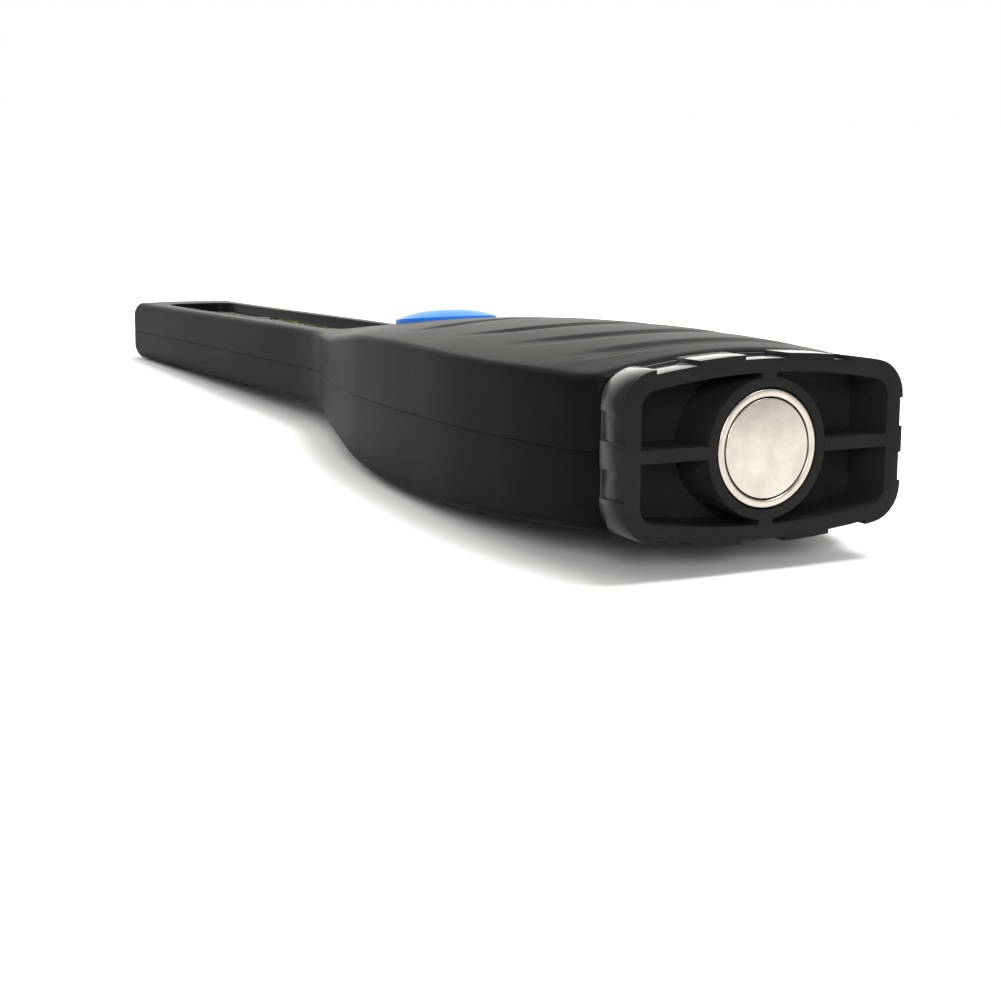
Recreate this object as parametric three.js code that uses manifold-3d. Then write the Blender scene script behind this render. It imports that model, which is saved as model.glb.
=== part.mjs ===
// A handheld work light: a wide battery handle that narrows through an S-shaped neck into a slim
// arm with a long window over a strip of LEDs. A magnet sits in the handle's pull-off end cap, a
// round push button switches the light, and a hanging hook folds into the back of the arm's tip.
//
// Everything is built inside one group, in millimetres, with these coordinates:
//   x  across the light
//   y  the station: distance from the front plane of the end cap's rim, towards the tip
//   z  the height above the parting plane, where the front and rear shells meet
// The group is moved so that the origin is the bottom centre of the whole light.
import * as THREE from "three";
import { mergeVertices } from "three/addons/utils/BufferGeometryUtils.js";
import Module from "manifold-3d";

// Overall
const LENGTH = 280;
const BELLY = 17.5; // depth of the handle's belly below the parting plane
const GAP = 0.3; // air left between two pieces that touch
const WALL = 2.2;
const CORNER_STEPS = 3; // an arc in an extruded outline takes twice as many sides

// Housing: half-width, and the crown, shoulder and edge radius of its top and bottom, by station
const BODY_END = 8.3;
const HALF_WIDTH = throughKnots([
  [8, 28.6], [13, 30.5], [20, 31.6], [33, 32.7], [47, 33], [72, 31.6], [100, 28.5],
  [115, 24.9], [130, 21], [143, 17.3], [155, 14.9], [168, 14], [280, 14],
]);
const TOP_CROWN = throughKnots([
  [8, 16.1], [20, 17], [45, 17.5], [70, 17], [90, 15.9], [115, 13.7], [141, 10.8], [158, 9.3],
  [180, 9], [280, 8.2],
]);
const TOP_SHOULDER = throughKnots([
  [8, 12.4], [14, 12.3], [22, 12.6], [50, 12.7], [66, 12.9], [80, 12.9], [98, 12.4], [117, 10.8],
  [130, 9.6], [150, 9], [180, 8.8], [280, 8],
]);
const BOTTOM_CROWN = throughKnots([
  [8, 15.3], [29, 16.4], [66, BELLY], [92, 16.4], [107, 14.7], [122, 12], [137, 9.4], [155, 8.5],
  [280, 7.8],
]);
const BOTTOM_SHOULDER = throughKnots([
  [8, 12.9], [20, 13.3], [34, 14], [46, 14.6], [66, 15.4], [80, 15.3], [92, 14.5], [107, 12.8],
  [122, 10.3], [137, 8.6], [155, 7.9], [280, 7.3],
]);
const EDGE_RADIUS = throughKnots([[8, 2.8], [22, 2.2], [36, 1.9], [280, 1.9]]);
const CAP_END_ROUND = 2.2; // how far the housing rounds inwards beside the end cap
const SOCKET_TO = 14; // the end cap's plug fits a wider hollow up to here
const SOCKET_WALL = 1.6;
const TIP_CORNER = 1.5; // plan radius of the tip's corners
const TIP_ROUND = 5; // rounding of the tip's top and bottom edges

// Arm and window
const WINDOW_FROM = 141;
const WINDOW_TO = 265;
const WINDOW_HALF = 9.4;
const WINDOW_CORNER = 4;
const CEILING = 6.2; // underside of the arm's front wall
const ARM_HALF_INSIDE = 11.8;
const ARM_INSIDE_FROM = 126;
const ARM_INSIDE_TO = 269;
const ARM_FLOOR = -6.1;
const HANDLE_INSIDE_TO = 138.6;

// End cap
const CAP_FLANGE = 6.9;
const CAP_PLUG_TO = 14;
const CAP_POCKET = 10;
const CAP_FLOOR_TO = 12;
const CAP_BLOCK = { half: 28.75, top: [15.9, 13], bottom: [16, 13.3], radius: 6.5 };
const CAP_NOTCH = { half: 28.2, top: [15.1, 12.4], bottom: [15.3, 12.7], radius: 6.5 };
const CAP_POCKETS = { half: 25.3, top: [12.8, 10.3], bottom: [12.8, 10.6], radius: 3 };
const CAP_PLUG = { half: 26.4, top: [13.9, 10.8], bottom: [13.2, 11.1], radius: 4.6 };
const CAP_SKIRT_INSIDE = { half: 24.9, top: [12.4, 9.4], bottom: [11.7, 9.7], radius: 3.4 };
const TOP_NOTCHES = [[-22.5, -14], [-5, 3.9], [13.3, 16.6]];
const BOTTOM_NOTCHES = [[-22.1, -15.1], [-4.7, 4], [13.4, 21.5]];
const SIDE_NOTCH = [2.3, 7.2];
const RIB_ACROSS = 2.2;
const RIB_UP = 2.8;
const BOSS_RADIUS = 12;
const BOSS_RECESS = 0.1;
const MAGNET_RADIUS = 10;
const MAGNET_DEPTH = 7;
const MAGNET_CUP_FLOOR = 1.6;
const MAGNET_DISC_RADIUS = 8.5;

// Push button and switch, square to the sloping top of the handle
const BUTTON_STATION = 115;
const BUTTON_TILT = THREE.MathUtils.degToRad(-6);
const BUTTON_RADIUS = 10.9;
const BUTTON_DOME = 2.2;
const BUTTON_RIM = 0.9; // height of the dome's rounded edge above the housing
const BUTTON_SKIRT = { wider: 1.3, bottom: -4.6, top: -3.4 };
const SWITCH_SIDE = 9;
const SWITCH_TOP = -7.6;
const SWITCH_BOTTOM = -13.2;
const PLUNGER_RADIUS = 2;
const BOARD_THICK = 1.6;
const DRIVER_BOARD = { half: 12.5, from: -17, to: 13, corner: 2 };

// Lighting stack
const LED_BOARD = { half: 8.5, from: 143, to: 263.5, bottom: 1.1, top: 2.6 };
const COB = { half: 5.6, from: 149, to: 257, bottom: 2.9, top: 3.9 };
const REFLECTOR = { half: 9.6, from: 142, to: 264, bottom: 2.9, top: 4.2 };
const LENS = { half: 11.2, from: 139.6, to: 266.4, bottom: 4.5, top: 5.9 };
const LENS_GASKET_WIDTH = 1.2;

// Batteries: AA cells side by side, alternate ways round
const CELL_RADIUS = 7.15;
const CELL_LENGTH = 49.2;
const CELL_NUB = { length: 1.2, radius: 2.7 };
const CELL_PITCH = 15.4;
const CELL_HEIGHT = -0.6;
const CARRIER = { half: 25, from: 15.4, to: 78, bottom: -10.4, floor: 1.6, wall: 1.8, top: 6.5 };
const CONTACT_THICK = 0.5;
const CONTACT_HALF = 5;
const SPRING = { wire: 0.35, wide: 4.4, narrow: 2.8, turns: 2.5 };
const LEAD_RADIUS = 0.6;

// Screws
const SCREW_PLACES = [
  { name: "left_handle", x: -20.5, y: 89, head: -11.4, tip: 6 },
  { name: "right_handle", x: 20.5, y: 89, head: -11.4, tip: 6 },
  { name: "left_neck", x: -13, y: 136.6, head: -6.9, tip: 4.5 },
  { name: "right_neck", x: 13, y: 136.6, head: -6.9, tip: 4.5 },
];
const SCREW_HEAD_RADIUS = 2.6;
const SCREW_HEAD_HEIGHT = 2;
const SCREW_RADIUS = 1.3;
const SCREW_BOSS_RADIUS = 3.2;
const SCREW_POINT = 1.5;

// Hanging hook, folded back into its pocket
const HOOK_PIVOT = { y: 273, z: -5.4 };
const HOOK_HALF = 9;
const HOOK_THICK = 3.4;
const HOOK_TOP = 1.4; // height of the folded hook's upper face above its pivot
const HOOK_ROOT = 12;
const HOOK_BEND = 26; // distance of the bend's centre from the pivot
const HOOK_BAR = 4;
const HOOK_POINT = 21;
const HOOK_CLEARANCE = 1.2; // air round the folded hook's bend
const KNUCKLE_RADIUS = 2.2;
const PIN_RADIUS = 0.95;
const PIN_HALF = 13.2;
const POCKET_HALF = 9.4;
const POCKET_CEILING = -2.9;
const POCKET_INSIDE_TO = 231; // the arm's hollow is full depth up to here
const NOTCH_FROM = 275.5;

const wasm = await Module();
wasm.setup();

// ---- curves and outlines ----

// A smooth curve through [place, value] knots that never overshoots between them.
function throughKnots(knots) {
  const secants = knots.slice(1).map(([p, v], i) => (v - knots[i][1]) / (p - knots[i][0]));
  const slopes = knots.map((_, i) => {
    const before = secants[i - 1];
    const after = secants[i];
    if (before === undefined || after === undefined || before * after <= 0) return 0;
    return (2 * before * after) / (before + after);
  });
  return (place) => {
    const last = knots.length - 2;
    const i = Math.min(last, Math.max(0, knots.findIndex((k) => k[0] > place) - 1));
    const at = place >= knots[last + 1][0] ? last : i;
    const step = knots[at + 1][0] - knots[at][0];
    const t = THREE.MathUtils.clamp((place - knots[at][0]) / step, 0, 1);
    const rise = knots[at + 1][1] - knots[at][1];
    const bend = t * (1 - t) * (slopes[at] * step * (1 - t) - slopes[at + 1] * step * t);
    return knots[at][1] + rise * t * t * (3 - 2 * t) + bend;
  };
}

// A quarter of a crowned, round-edged section, from the side at z = 0 up to the middle of the crown.
function quarterSection(half, crown, shoulder, radius, arcSteps, crownSteps) {
  const drop = (crown - shoulder) / (half * half);
  let reach = half - radius;
  for (let i = 0; i < 5; i += 1) {
    const lean = 2 * drop * reach;
    reach = half - radius * (1 - lean / Math.hypot(lean, 1));
  }
  const tilt = Math.atan(2 * drop * reach);
  const centreX = reach - radius * Math.sin(tilt);
  const centreZ = crown - drop * reach * reach - radius * Math.cos(tilt);
  const points = [new THREE.Vector2(half, 0)];
  for (let i = 0; i <= arcSteps; i += 1) {
    const angle = ((Math.PI / 2 - tilt) * i) / arcSteps;
    points.push(new THREE.Vector2(centreX + radius * Math.cos(angle), centreZ + radius * Math.sin(angle)));
  }
  for (let i = 1; i <= crownSteps; i += 1) {
    const x = reach * (1 - i / crownSteps);
    points.push(new THREE.Vector2(x, crown - drop * x * x));
  }
  return points;
}

// A whole section from its top and bottom quarters, counter-clockwise seen with x right and z up.
function wholeSection({ half, top, bottom, radius }, arcSteps = 5, crownSteps = 4) {
  const upper = quarterSection(half, top[0], top[1], radius, arcSteps, crownSteps);
  const lower = quarterSection(half, bottom[0], bottom[1], radius, arcSteps, crownSteps);
  const flip = (points, sx, sz) => points.map((p) => new THREE.Vector2(p.x * sx, p.y * sz));
  return [
    ...upper,
    ...flip(upper, -1, 1).reverse().slice(1),
    ...flip(lower, -1, -1).slice(1),
    ...flip(lower, 1, -1).reverse().slice(1, -1),
  ];
}

// The housing's section at a station, made smaller all round by inset.
function housingSection(station, inset, shrinkWidth = 0, shrinkHeight = 0) {
  const less = inset + shrinkHeight;
  const top = [TOP_CROWN(station) - less, TOP_SHOULDER(station) - less];
  const bottom = [BOTTOM_CROWN(station) - less, BOTTOM_SHOULDER(station) - less];
  const widest = 0.8 * Math.min(top[1], bottom[1]);
  return {
    half: HALF_WIDTH(station) - inset - shrinkWidth,
    top,
    bottom,
    radius: Math.max(0.8, Math.min(EDGE_RADIUS(station) - inset, widest)),
  };
}

function roundedRectangle(x0, y0, x1, y1, radius) {
  const shape = new THREE.Shape();
  shape.moveTo(x0 + radius, y0);
  shape.lineTo(x1 - radius, y0);
  shape.absarc(x1 - radius, y0 + radius, radius, -Math.PI / 2, 0, false);
  shape.lineTo(x1, y1 - radius);
  shape.absarc(x1 - radius, y1 - radius, radius, 0, Math.PI / 2, false);
  shape.lineTo(x0 + radius, y1);
  shape.absarc(x0 + radius, y1 - radius, radius, Math.PI / 2, Math.PI, false);
  shape.lineTo(x0, y0 + radius);
  shape.absarc(x0 + radius, y0 + radius, radius, Math.PI, Math.PI * 1.5, false);
  return shape;
}

// ---- geometry ----

// A closed skin over rings of points that all have the same count and turn the same way.
function loft(rings) {
  const count = rings[0].length;
  const positions = rings.flat().flatMap((p) => [p.x, p.y, p.z]);
  const index = [];
  for (let r = 0; r + 1 < rings.length; r += 1) {
    for (let i = 0; i < count; i += 1) {
      const a = r * count + i;
      const b = r * count + ((i + 1) % count);
      index.push(a, a + count, b, b, a + count, b + count);
    }
  }
  const lastRing = (rings.length - 1) * count;
  const flat = rings[0].map((p) => new THREE.Vector2(p.x, p.z));
  for (const [a, b, c] of THREE.ShapeUtils.triangulateShape(flat, [])) {
    index.push(a, b, c, lastRing + a, lastRing + c, lastRing + b);
  }
  const geometry = new THREE.BufferGeometry();
  geometry.setAttribute("position", new THREE.Float32BufferAttribute(positions, 3));
  geometry.setIndex(index);
  return geometry;
}

function ringAt(station, section, arcSteps, crownSteps) {
  return wholeSection(section, arcSteps, crownSteps).map((p) => new THREE.Vector3(p.x, station, p.y));
}

function extruded(shape, depth) {
  const options = { depth, bevelEnabled: false, curveSegments: CORNER_STEPS };
  return new THREE.ExtrudeGeometry(shape, options);
}

// A flat shape drawn in x and z, extruded along the stations.
function alongStations(shape, from, to) {
  return extruded(shape, to - from).rotateX(Math.PI / 2).translate(0, to, 0);
}

// A flat shape drawn in x and y, extruded upwards.
function upwards(shape, from, to) {
  return extruded(shape, to - from).translate(0, 0, from);
}

function box(x0, y0, z0, x1, y1, z1) {
  const geometry = new THREE.BoxGeometry(x1 - x0, y1 - y0, z1 - z0);
  return geometry.translate((x0 + x1) / 2, (y0 + y1) / 2, (z0 + z1) / 2);
}

// A cylinder that stands on z0 at (x, y).
function upright(radius, x, y, z0, z1, segments = 16) {
  const geometry = new THREE.CylinderGeometry(radius, radius, z1 - z0, segments);
  return geometry.rotateX(Math.PI / 2).translate(x, y, (z0 + z1) / 2);
}

// A cylinder along the light, from one station to another.
function lengthways(radius, x, z, y0, y1, segments = 24) {
  const geometry = new THREE.CylinderGeometry(radius, radius, y1 - y0, segments);
  return geometry.translate(x, (y0 + y1) / 2, z);
}

// A cylinder across the light, centred on x = 0.
function crossways(radius, halfLength, y, z, segments = 16) {
  const geometry = new THREE.CylinderGeometry(radius, radius, 2 * halfLength, segments);
  return geometry.rotateZ(Math.PI / 2).translate(0, y, z);
}

// A round piece turned from [radius, height] points, standing along z.
function turned(profile, segments = 32) {
  const points = profile.map(([r, h]) => new THREE.Vector2(r, h));
  return new THREE.LatheGeometry(points, segments).rotateX(Math.PI / 2);
}

// A round wire or rod of an even section that follows a curve.
function wire(curve, radius, steps, sides = 8) {
  const circle = new THREE.Shape(
    Array.from({ length: sides }, (_, i) => {
      const angle = (2 * Math.PI * i) / sides;
      return new THREE.Vector2(radius * Math.cos(angle), radius * Math.sin(angle));
    }),
  );
  return new THREE.ExtrudeGeometry(circle, { steps, extrudePath: curve, bevelEnabled: false });
}

// ---- solids ----

function solid(geometry) {
  const bare = geometry.index ? geometry.toNonIndexed() : geometry.clone();
  bare.deleteAttribute("normal");
  bare.deleteAttribute("uv");
  const merged = mergeVertices(bare, 1e-4);
  return new wasm.Manifold(
    new wasm.Mesh({
      numProp: 3,
      vertProperties: merged.attributes.position.array,
      triVerts: new Uint32Array(merged.index.array),
    }),
  );
}

function joined(...geometries) {
  return geometries.map(solid).reduce((all, one) => all.add(one));
}

function geometryOf(manifold) {
  const mesh = manifold.getMesh();
  const geometry = new THREE.BufferGeometry();
  geometry.setAttribute("position", new THREE.Float32BufferAttribute(mesh.vertProperties, 3));
  geometry.setIndex(new THREE.BufferAttribute(mesh.triVerts, 1));
  return geometry;
}

// ---- materials ----

const finish = (color, roughness, metalness = 0) =>
  new THREE.MeshStandardMaterial({ color, roughness, metalness });
const blackRubber = () => finish(0x2b2b2a, 0.6);
const blackPlastic = () => finish(0x1d1f1f, 0.4);
const greyPlastic = () => finish(0x3c3e3a, 0.5);
const bluePlastic = () => finish(0x2f86f0, 0.35);
const clearPlastic = () => finish(0xdde6e2, 0.1);
const nickel = () => finish(0xd8cfc2, 0.3, 1);
const steel = () => finish(0x9a9a98, 0.35, 1);
const springSteel = () => finish(0xc4c4c0, 0.3, 1);
const aluminium = () => finish(0xc8c8c6, 0.45, 1);
const phosphor = () => finish(0xdfd23a, 0.6);
const whitePlastic = () => finish(0xe8e8e2, 0.5);
const boardGreen = () => finish(0x1f5a35, 0.5);
const gasketRubber = () => finish(0x151515, 0.8);
const cellJacket = () => finish(0x3b4a58, 0.4);
const redInsulation = () => finish(0xa01818, 0.5);
const blackInsulation = () => finish(0x111111, 0.5);

const light = new THREE.Group();
light.position.set(0, -LENGTH / 2, BELLY);

function add(name, shape, material, parent = light) {
  const geometry = shape.isBufferGeometry ? shape : geometryOf(shape);
  const mesh = new THREE.Mesh(geometry, material);
  mesh.name = name;
  parent.add(mesh);
  return mesh;
}

// ---- housing ----

// The outside of both shells as one solid form.
function housingForm() {
  const rings = [];
  const capSteps = 3;
  for (let i = 0; i < capSteps; i += 1) {
    const turn = (Math.PI / 2) * (i / capSteps);
    const station = BODY_END + CAP_END_ROUND * (1 - Math.cos(turn));
    const lost = 0.5 * CAP_END_ROUND * (1 - Math.sin(turn));
    rings.push(ringAt(station, housingSection(station, 0, lost, lost)));
  }
  const stations = [
    11, 13, 16, 20, 28, 38, 47, 57, 66, 77, 88, 100, 108, 116, 124, 132, 139, 146, 153, 161, 172, 225,
  ];
  for (const station of stations) rings.push(ringAt(station, housingSection(station, 0)));
  const tipSteps = 6;
  for (let i = 0; i <= tipSteps; i += 1) {
    const turn = (Math.PI / 2) * (i / tipSteps);
    const station = LENGTH - TIP_ROUND * (1 - Math.sin(turn));
    const lower = TIP_ROUND * (1 - Math.cos(turn));
    const intoCorner = Math.max(0, 1 - (LENGTH - station) / TIP_CORNER);
    const narrower = TIP_CORNER * (1 - Math.sqrt(1 - intoCorner * intoCorner));
    rings.push(ringAt(station, housingSection(station, 0, narrower, lower)));
  }
  return solid(loft(rings));
}

// The hollow that holds the batteries and the switch.
function handleHollow() {
  const stations = [0, SOCKET_TO, 20, 32, 47, 62, 78, 95, 108, 118, 128, HANDLE_INSIDE_TO];
  const rings = stations.map((station) => {
    const inset = station <= SOCKET_TO ? SOCKET_WALL : WALL;
    return ringAt(station, housingSection(station, inset), 3, 3);
  });
  return solid(loft(rings));
}

// The narrower hollow that holds the lighting stack, above and below the parting plane.
function armHollow() {
  const outline = roundedRectangle(-ARM_HALF_INSIDE, ARM_INSIDE_FROM, ARM_HALF_INSIDE, ARM_INSIDE_TO, 2);
  const deep = roundedRectangle(-ARM_HALF_INSIDE, ARM_INSIDE_FROM, ARM_HALF_INSIDE, POCKET_INSIDE_TO, 2);
  return joined(upwards(outline, POCKET_CEILING + 1.5, CEILING), upwards(deep, ARM_FLOOR, 1));
}

function hookPocket() {
  const far = HOOK_PIVOT.y - HOOK_BEND - HOOK_HALF - HOOK_CLEARANCE;
  const outline = roundedRectangle(-POCKET_HALF, far, POCKET_HALF, LENGTH + 6, 3);
  const notch = box(-POCKET_HALF, NOTCH_FROM, -20, POCKET_HALF, LENGTH + 1, 20);
  const pinHole = crossways(PIN_RADIUS + 0.25, PIN_HALF + 0.2, HOOK_PIVOT.y, HOOK_PIVOT.z);
  return joined(upwards(outline, -20, POCKET_CEILING), notch, pinHole);
}

// Screw bosses reach from each shell's wall to the parting plane, inside the housing form.
function screwBosses(form) {
  const posts = SCREW_PLACES.map(({ x, y }) => upright(SCREW_BOSS_RADIUS, x, y, -20, 20));
  return joined(...posts).intersect(form);
}

function screwHoles() {
  const holes = SCREW_PLACES.flatMap(({ x, y, head, tip }) => [
    upright(SCREW_RADIUS + GAP, x, y, head, tip + 1, 12),
    upright(SCREW_HEAD_RADIUS + GAP, x, y, -25, head + SCREW_HEAD_HEIGHT + GAP),
  ]);
  return joined(...holes);
}

function buttonHole() {
  const hole = upright(BUTTON_RADIUS + GAP, 0, 0, -8, 8, 32);
  return solid(hole.rotateX(BUTTON_TILT).translate(0, BUTTON_STATION, TOP_CROWN(BUTTON_STATION)));
}

const form = housingForm();
const hollow = handleHollow().add(armHollow());
const hollowForm = form.subtract(hollow).add(screwBosses(form)).subtract(screwHoles());
const windowOutline = roundedRectangle(-WINDOW_HALF, WINDOW_FROM, WINDOW_HALF, WINDOW_TO, WINDOW_CORNER);
const abovePartingPlane = solid(box(-50, -5, GAP / 2, 50, LENGTH + 5, 40));
const belowPartingPlane = solid(box(-50, -5, -40, 50, LENGTH + 5, -GAP / 2));

const frontShell = hollowForm
  .intersect(abovePartingPlane)
  .subtract(solid(upwards(windowOutline, 3, 20)))
  .subtract(buttonHole())
  .subtract(hookPocket());
const rearShell = hollowForm.intersect(belowPartingPlane).subtract(hookPocket());
add("front_shell", frontShell, blackRubber());
add("rear_shell", rearShell, blackRubber());

// ---- end cap, seal and magnet ----

function capOutline(section) {
  return new THREE.Shape(wholeSection(section, 6, 4));
}

function capNotches() {
  const outside = 40;
  const wide = CAP_NOTCH.half - 2;
  const tall = 5;
  const cutters = [
    ...TOP_NOTCHES.map(([a, b]) => box(a, -1, tall, b, CAP_FLANGE + 1, outside)),
    ...BOTTOM_NOTCHES.map(([a, b]) => box(a, -1, -outside, b, CAP_FLANGE + 1, -tall)),
  ];
  for (const side of [-1, 1]) {
    for (const way of [-1, 1]) {
      const x = [side * wide, side * outside].sort((a, b) => a - b);
      const z = SIDE_NOTCH.map((v) => v * way).sort((a, b) => a - b);
      cutters.push(box(x[0], -1, z[0], x[1], CAP_FLANGE + 1, z[1]));
    }
  }
  return joined(...cutters).subtract(solid(alongStations(capOutline(CAP_NOTCH), -2, CAP_FLANGE + 2)));
}

function endCap() {
  const flange = solid(alongStations(capOutline(CAP_BLOCK), 0, CAP_FLANGE)).subtract(capNotches());
  const plug = solid(alongStations(capOutline(CAP_PLUG), CAP_FLANGE - 1, CAP_PLUG_TO));
  const pockets = solid(alongStations(capOutline(CAP_POCKETS), -1, CAP_POCKET));
  const skirtInside = solid(alongStations(capOutline(CAP_SKIRT_INSIDE), CAP_FLOOR_TO, CAP_PLUG_TO + 1));
  const ribs = joined(
    box(-CAP_POCKETS.half - 1, 0, -RIB_ACROSS / 2, CAP_POCKETS.half + 1, CAP_FLOOR_TO, RIB_ACROSS / 2),
    box(-RIB_UP / 2, 0, -CAP_POCKETS.bottom[0] - 0.5, RIB_UP / 2, CAP_FLOOR_TO, CAP_POCKETS.top[0] + 0.5),
  );
  const boss = solid(lengthways(BOSS_RADIUS, 0, 0, BOSS_RECESS, CAP_FLOOR_TO, 40));
  const aboveBoss = solid(lengthways(BOSS_RADIUS, 0, 0, -1, BOSS_RECESS, 40));
  const magnetSeat = solid(
    lengthways(MAGNET_RADIUS + GAP, 0, 0, -1, BOSS_RECESS + MAGNET_DEPTH + GAP, 40),
  );
  return flange
    .add(plug)
    .subtract(pockets)
    .subtract(skirtInside)
    .add(ribs)
    .add(boss)
    .subtract(aboveBoss)
    .subtract(magnetSeat);
}

add("end_cap", endCap(), blackPlastic());

function sealRing() {
  const grown = (by) => ({
    half: CAP_PLUG.half + by,
    top: CAP_PLUG.top.map((v) => v + by),
    bottom: CAP_PLUG.bottom.map((v) => v + by),
    radius: CAP_PLUG.radius,
  });
  const from = CAP_FLANGE + GAP;
  const to = BODY_END - GAP;
  const outer = solid(alongStations(capOutline(grown(GAP + 1.2)), from, to));
  const inner = solid(alongStations(capOutline(grown(GAP)), from - 1, to + 1));
  return outer.subtract(inner);
}

add("end_cap_seal", sealRing(), gasketRubber());

const magnet = new THREE.Group();
magnet.position.set(0, BOSS_RECESS, 0);
magnet.rotation.x = -Math.PI / 2; // the turned pieces' height runs along the stations
light.add(magnet);
const cupInside = MAGNET_DISC_RADIUS + GAP;
const cupProfile = [
  [0, MAGNET_DEPTH], [0, MAGNET_DEPTH - MAGNET_CUP_FLOOR], [cupInside, MAGNET_DEPTH - MAGNET_CUP_FLOOR],
  [cupInside, 0], [MAGNET_RADIUS, 0], [MAGNET_RADIUS, MAGNET_DEPTH], [0, MAGNET_DEPTH],
];
add("magnet_cup", turned(cupProfile, 40), nickel(), magnet);
const discTop = MAGNET_DEPTH - MAGNET_CUP_FLOOR - GAP;
const discProfile = [[0, 0], [MAGNET_DISC_RADIUS, 0], [MAGNET_DISC_RADIUS, discTop], [0, discTop]];
add("magnet_disc", turned(discProfile, 40), nickel(), magnet);

// ---- push button, switch and driver board ----

const switchStack = new THREE.Group();
switchStack.position.set(0, BUTTON_STATION, TOP_CROWN(BUTTON_STATION));
switchStack.rotation.x = BUTTON_TILT;
light.add(switchStack);

function buttonProfile() {
  const steps = 6;
  const edge = 0.5;
  const dome = Array.from({ length: steps + 1 }, (_, i) => {
    const share = 1 - i / steps;
    const rise = (BUTTON_DOME - BUTTON_RIM) * (1 - share ** 2.6);
    return [(BUTTON_RADIUS - edge) * share, BUTTON_RIM + rise];
  });
  const { wider, bottom, top } = BUTTON_SKIRT;
  return [
    [0, bottom], [BUTTON_RADIUS + wider, bottom], [BUTTON_RADIUS + wider, top], [BUTTON_RADIUS, top],
    [BUTTON_RADIUS, BUTTON_RIM - edge], ...dome,
  ];
}

add("switch_button", turned(buttonProfile(), 32), bluePlastic(), switchStack);
const plunger = upright(PLUNGER_RADIUS, 0, 0, SWITCH_TOP - 1.6, BUTTON_SKIRT.bottom - GAP, 12);
add("switch_plunger", plunger, whitePlastic(), switchStack);

function switchBody() {
  const half = SWITCH_SIDE / 2;
  const body = solid(box(-half, -half, SWITCH_BOTTOM, half, half, SWITCH_TOP));
  return body.subtract(solid(upright(PLUNGER_RADIUS + GAP, 0, 0, SWITCH_TOP - 3.4, 0, 12)));
}

add("switch_body", switchBody(), blackPlastic(), switchStack);
const boardTop = SWITCH_BOTTOM - GAP;
const boardHeights = { bottom: boardTop - BOARD_THICK, top: boardTop };
const driverBoard = slab({ ...DRIVER_BOARD, ...boardHeights }, DRIVER_BOARD.corner);
add("driver_board", driverBoard, boardGreen(), switchStack);

// ---- lighting stack ----

function slab({ half, from, to, bottom, top }, corner) {
  return upwards(roundedRectangle(-half, from, half, to, corner), bottom, top);
}

add("led_board", slab(LED_BOARD, 1), aluminium());
add("cob_strip", slab(COB, COB.half - 0.4), phosphor());
const reflectorSlot = {
  half: COB.half + GAP,
  from: COB.from - GAP,
  to: COB.to + GAP,
  bottom: REFLECTOR.bottom - 1,
  top: REFLECTOR.top + 1,
};
const reflector = solid(slab(REFLECTOR, 1)).subtract(solid(slab(reflectorSlot, COB.half - 0.2)));
add("led_reflector", reflector, aluminium());
add("window_lens", slab(LENS, 1.5), clearPlastic());
const gasketOuter = { ...LENS, bottom: REFLECTOR.bottom, top: LENS.bottom - GAP };
const gasketInner = {
  half: LENS.half - LENS_GASKET_WIDTH,
  from: LENS.from + LENS_GASKET_WIDTH,
  to: LENS.to - LENS_GASKET_WIDTH,
  bottom: gasketOuter.bottom - 1,
  top: gasketOuter.top + 1,
};
const lensGasket = solid(slab(gasketOuter, 1.5)).subtract(solid(slab(gasketInner, 1)));
add("lens_gasket", lensGasket, gasketRubber());

// ---- battery carrier, cells and contacts ----

const cellXs = [-CELL_PITCH, 0, CELL_PITCH];
const insideFrom = CARRIER.from + CARRIER.wall;
const insideTo = CARRIER.to - CARRIER.wall;

function batteryCarrier() {
  const { half, from, to, bottom, floor, top } = CARRIER;
  const floorTop = bottom + floor;
  const ribTop = CELL_HEIGHT - 3;
  const between = CELL_PITCH / 2;
  const tray = joined(
    box(-half, from, bottom, half, to, floorTop),
    box(-half, from, bottom, half, insideFrom, top),
    box(-half, insideTo, bottom, half, to, top),
    box(-half, from, bottom, -half + 1, to, ribTop),
    box(half - 1, from, bottom, half, to, ribTop),
  );
  const ribs = [-between, between].map((x) => box(x - 0.5, from, bottom, x + 0.5, to, ribTop - 2));
  const cells = cellXs.map((x) => lengthways(CELL_RADIUS + GAP, x, CELL_HEIGHT, insideFrom, insideTo));
  return tray.add(joined(...ribs)).subtract(joined(...cells));
}

add("battery_carrier", batteryCarrier(), blackPlastic());

const rearContact = insideFrom + CONTACT_THICK + 2 * GAP;
const frontContact = insideTo - CONTACT_THICK - 2 * GAP;

// Each cell's nub meets a plate and its flat end meets a spring. Facing is 1 where the nub is at
// the tip end.
function cell(x, facing) {
  const nubEnd = facing > 0 ? frontContact : rearContact;
  const shoulder = nubEnd - facing * CELL_NUB.length;
  const base = shoulder - facing * CELL_LENGTH;
  const stations = (a, b) => [Math.min(a, b), Math.max(a, b)];
  const can = lengthways(CELL_RADIUS, x, CELL_HEIGHT, ...stations(base, shoulder), 24);
  const nub = lengthways(CELL_NUB.radius, x, CELL_HEIGHT, ...stations(shoulder - facing, nubEnd), 16);
  return { shape: joined(can, nub), base };
}

class ConeHelix extends THREE.Curve {
  constructor(x, from, to) {
    super();
    this.x = x;
    this.from = from;
    this.to = to;
  }
  getPoint(t, target = new THREE.Vector3()) {
    const radius = THREE.MathUtils.lerp(SPRING.wide, SPRING.narrow, t);
    const angle = 2 * Math.PI * SPRING.turns * t;
    const y = THREE.MathUtils.lerp(this.from, this.to, t);
    return target.set(this.x + radius * Math.cos(angle), y, CELL_HEIGHT + radius * Math.sin(angle));
  }
}

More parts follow.
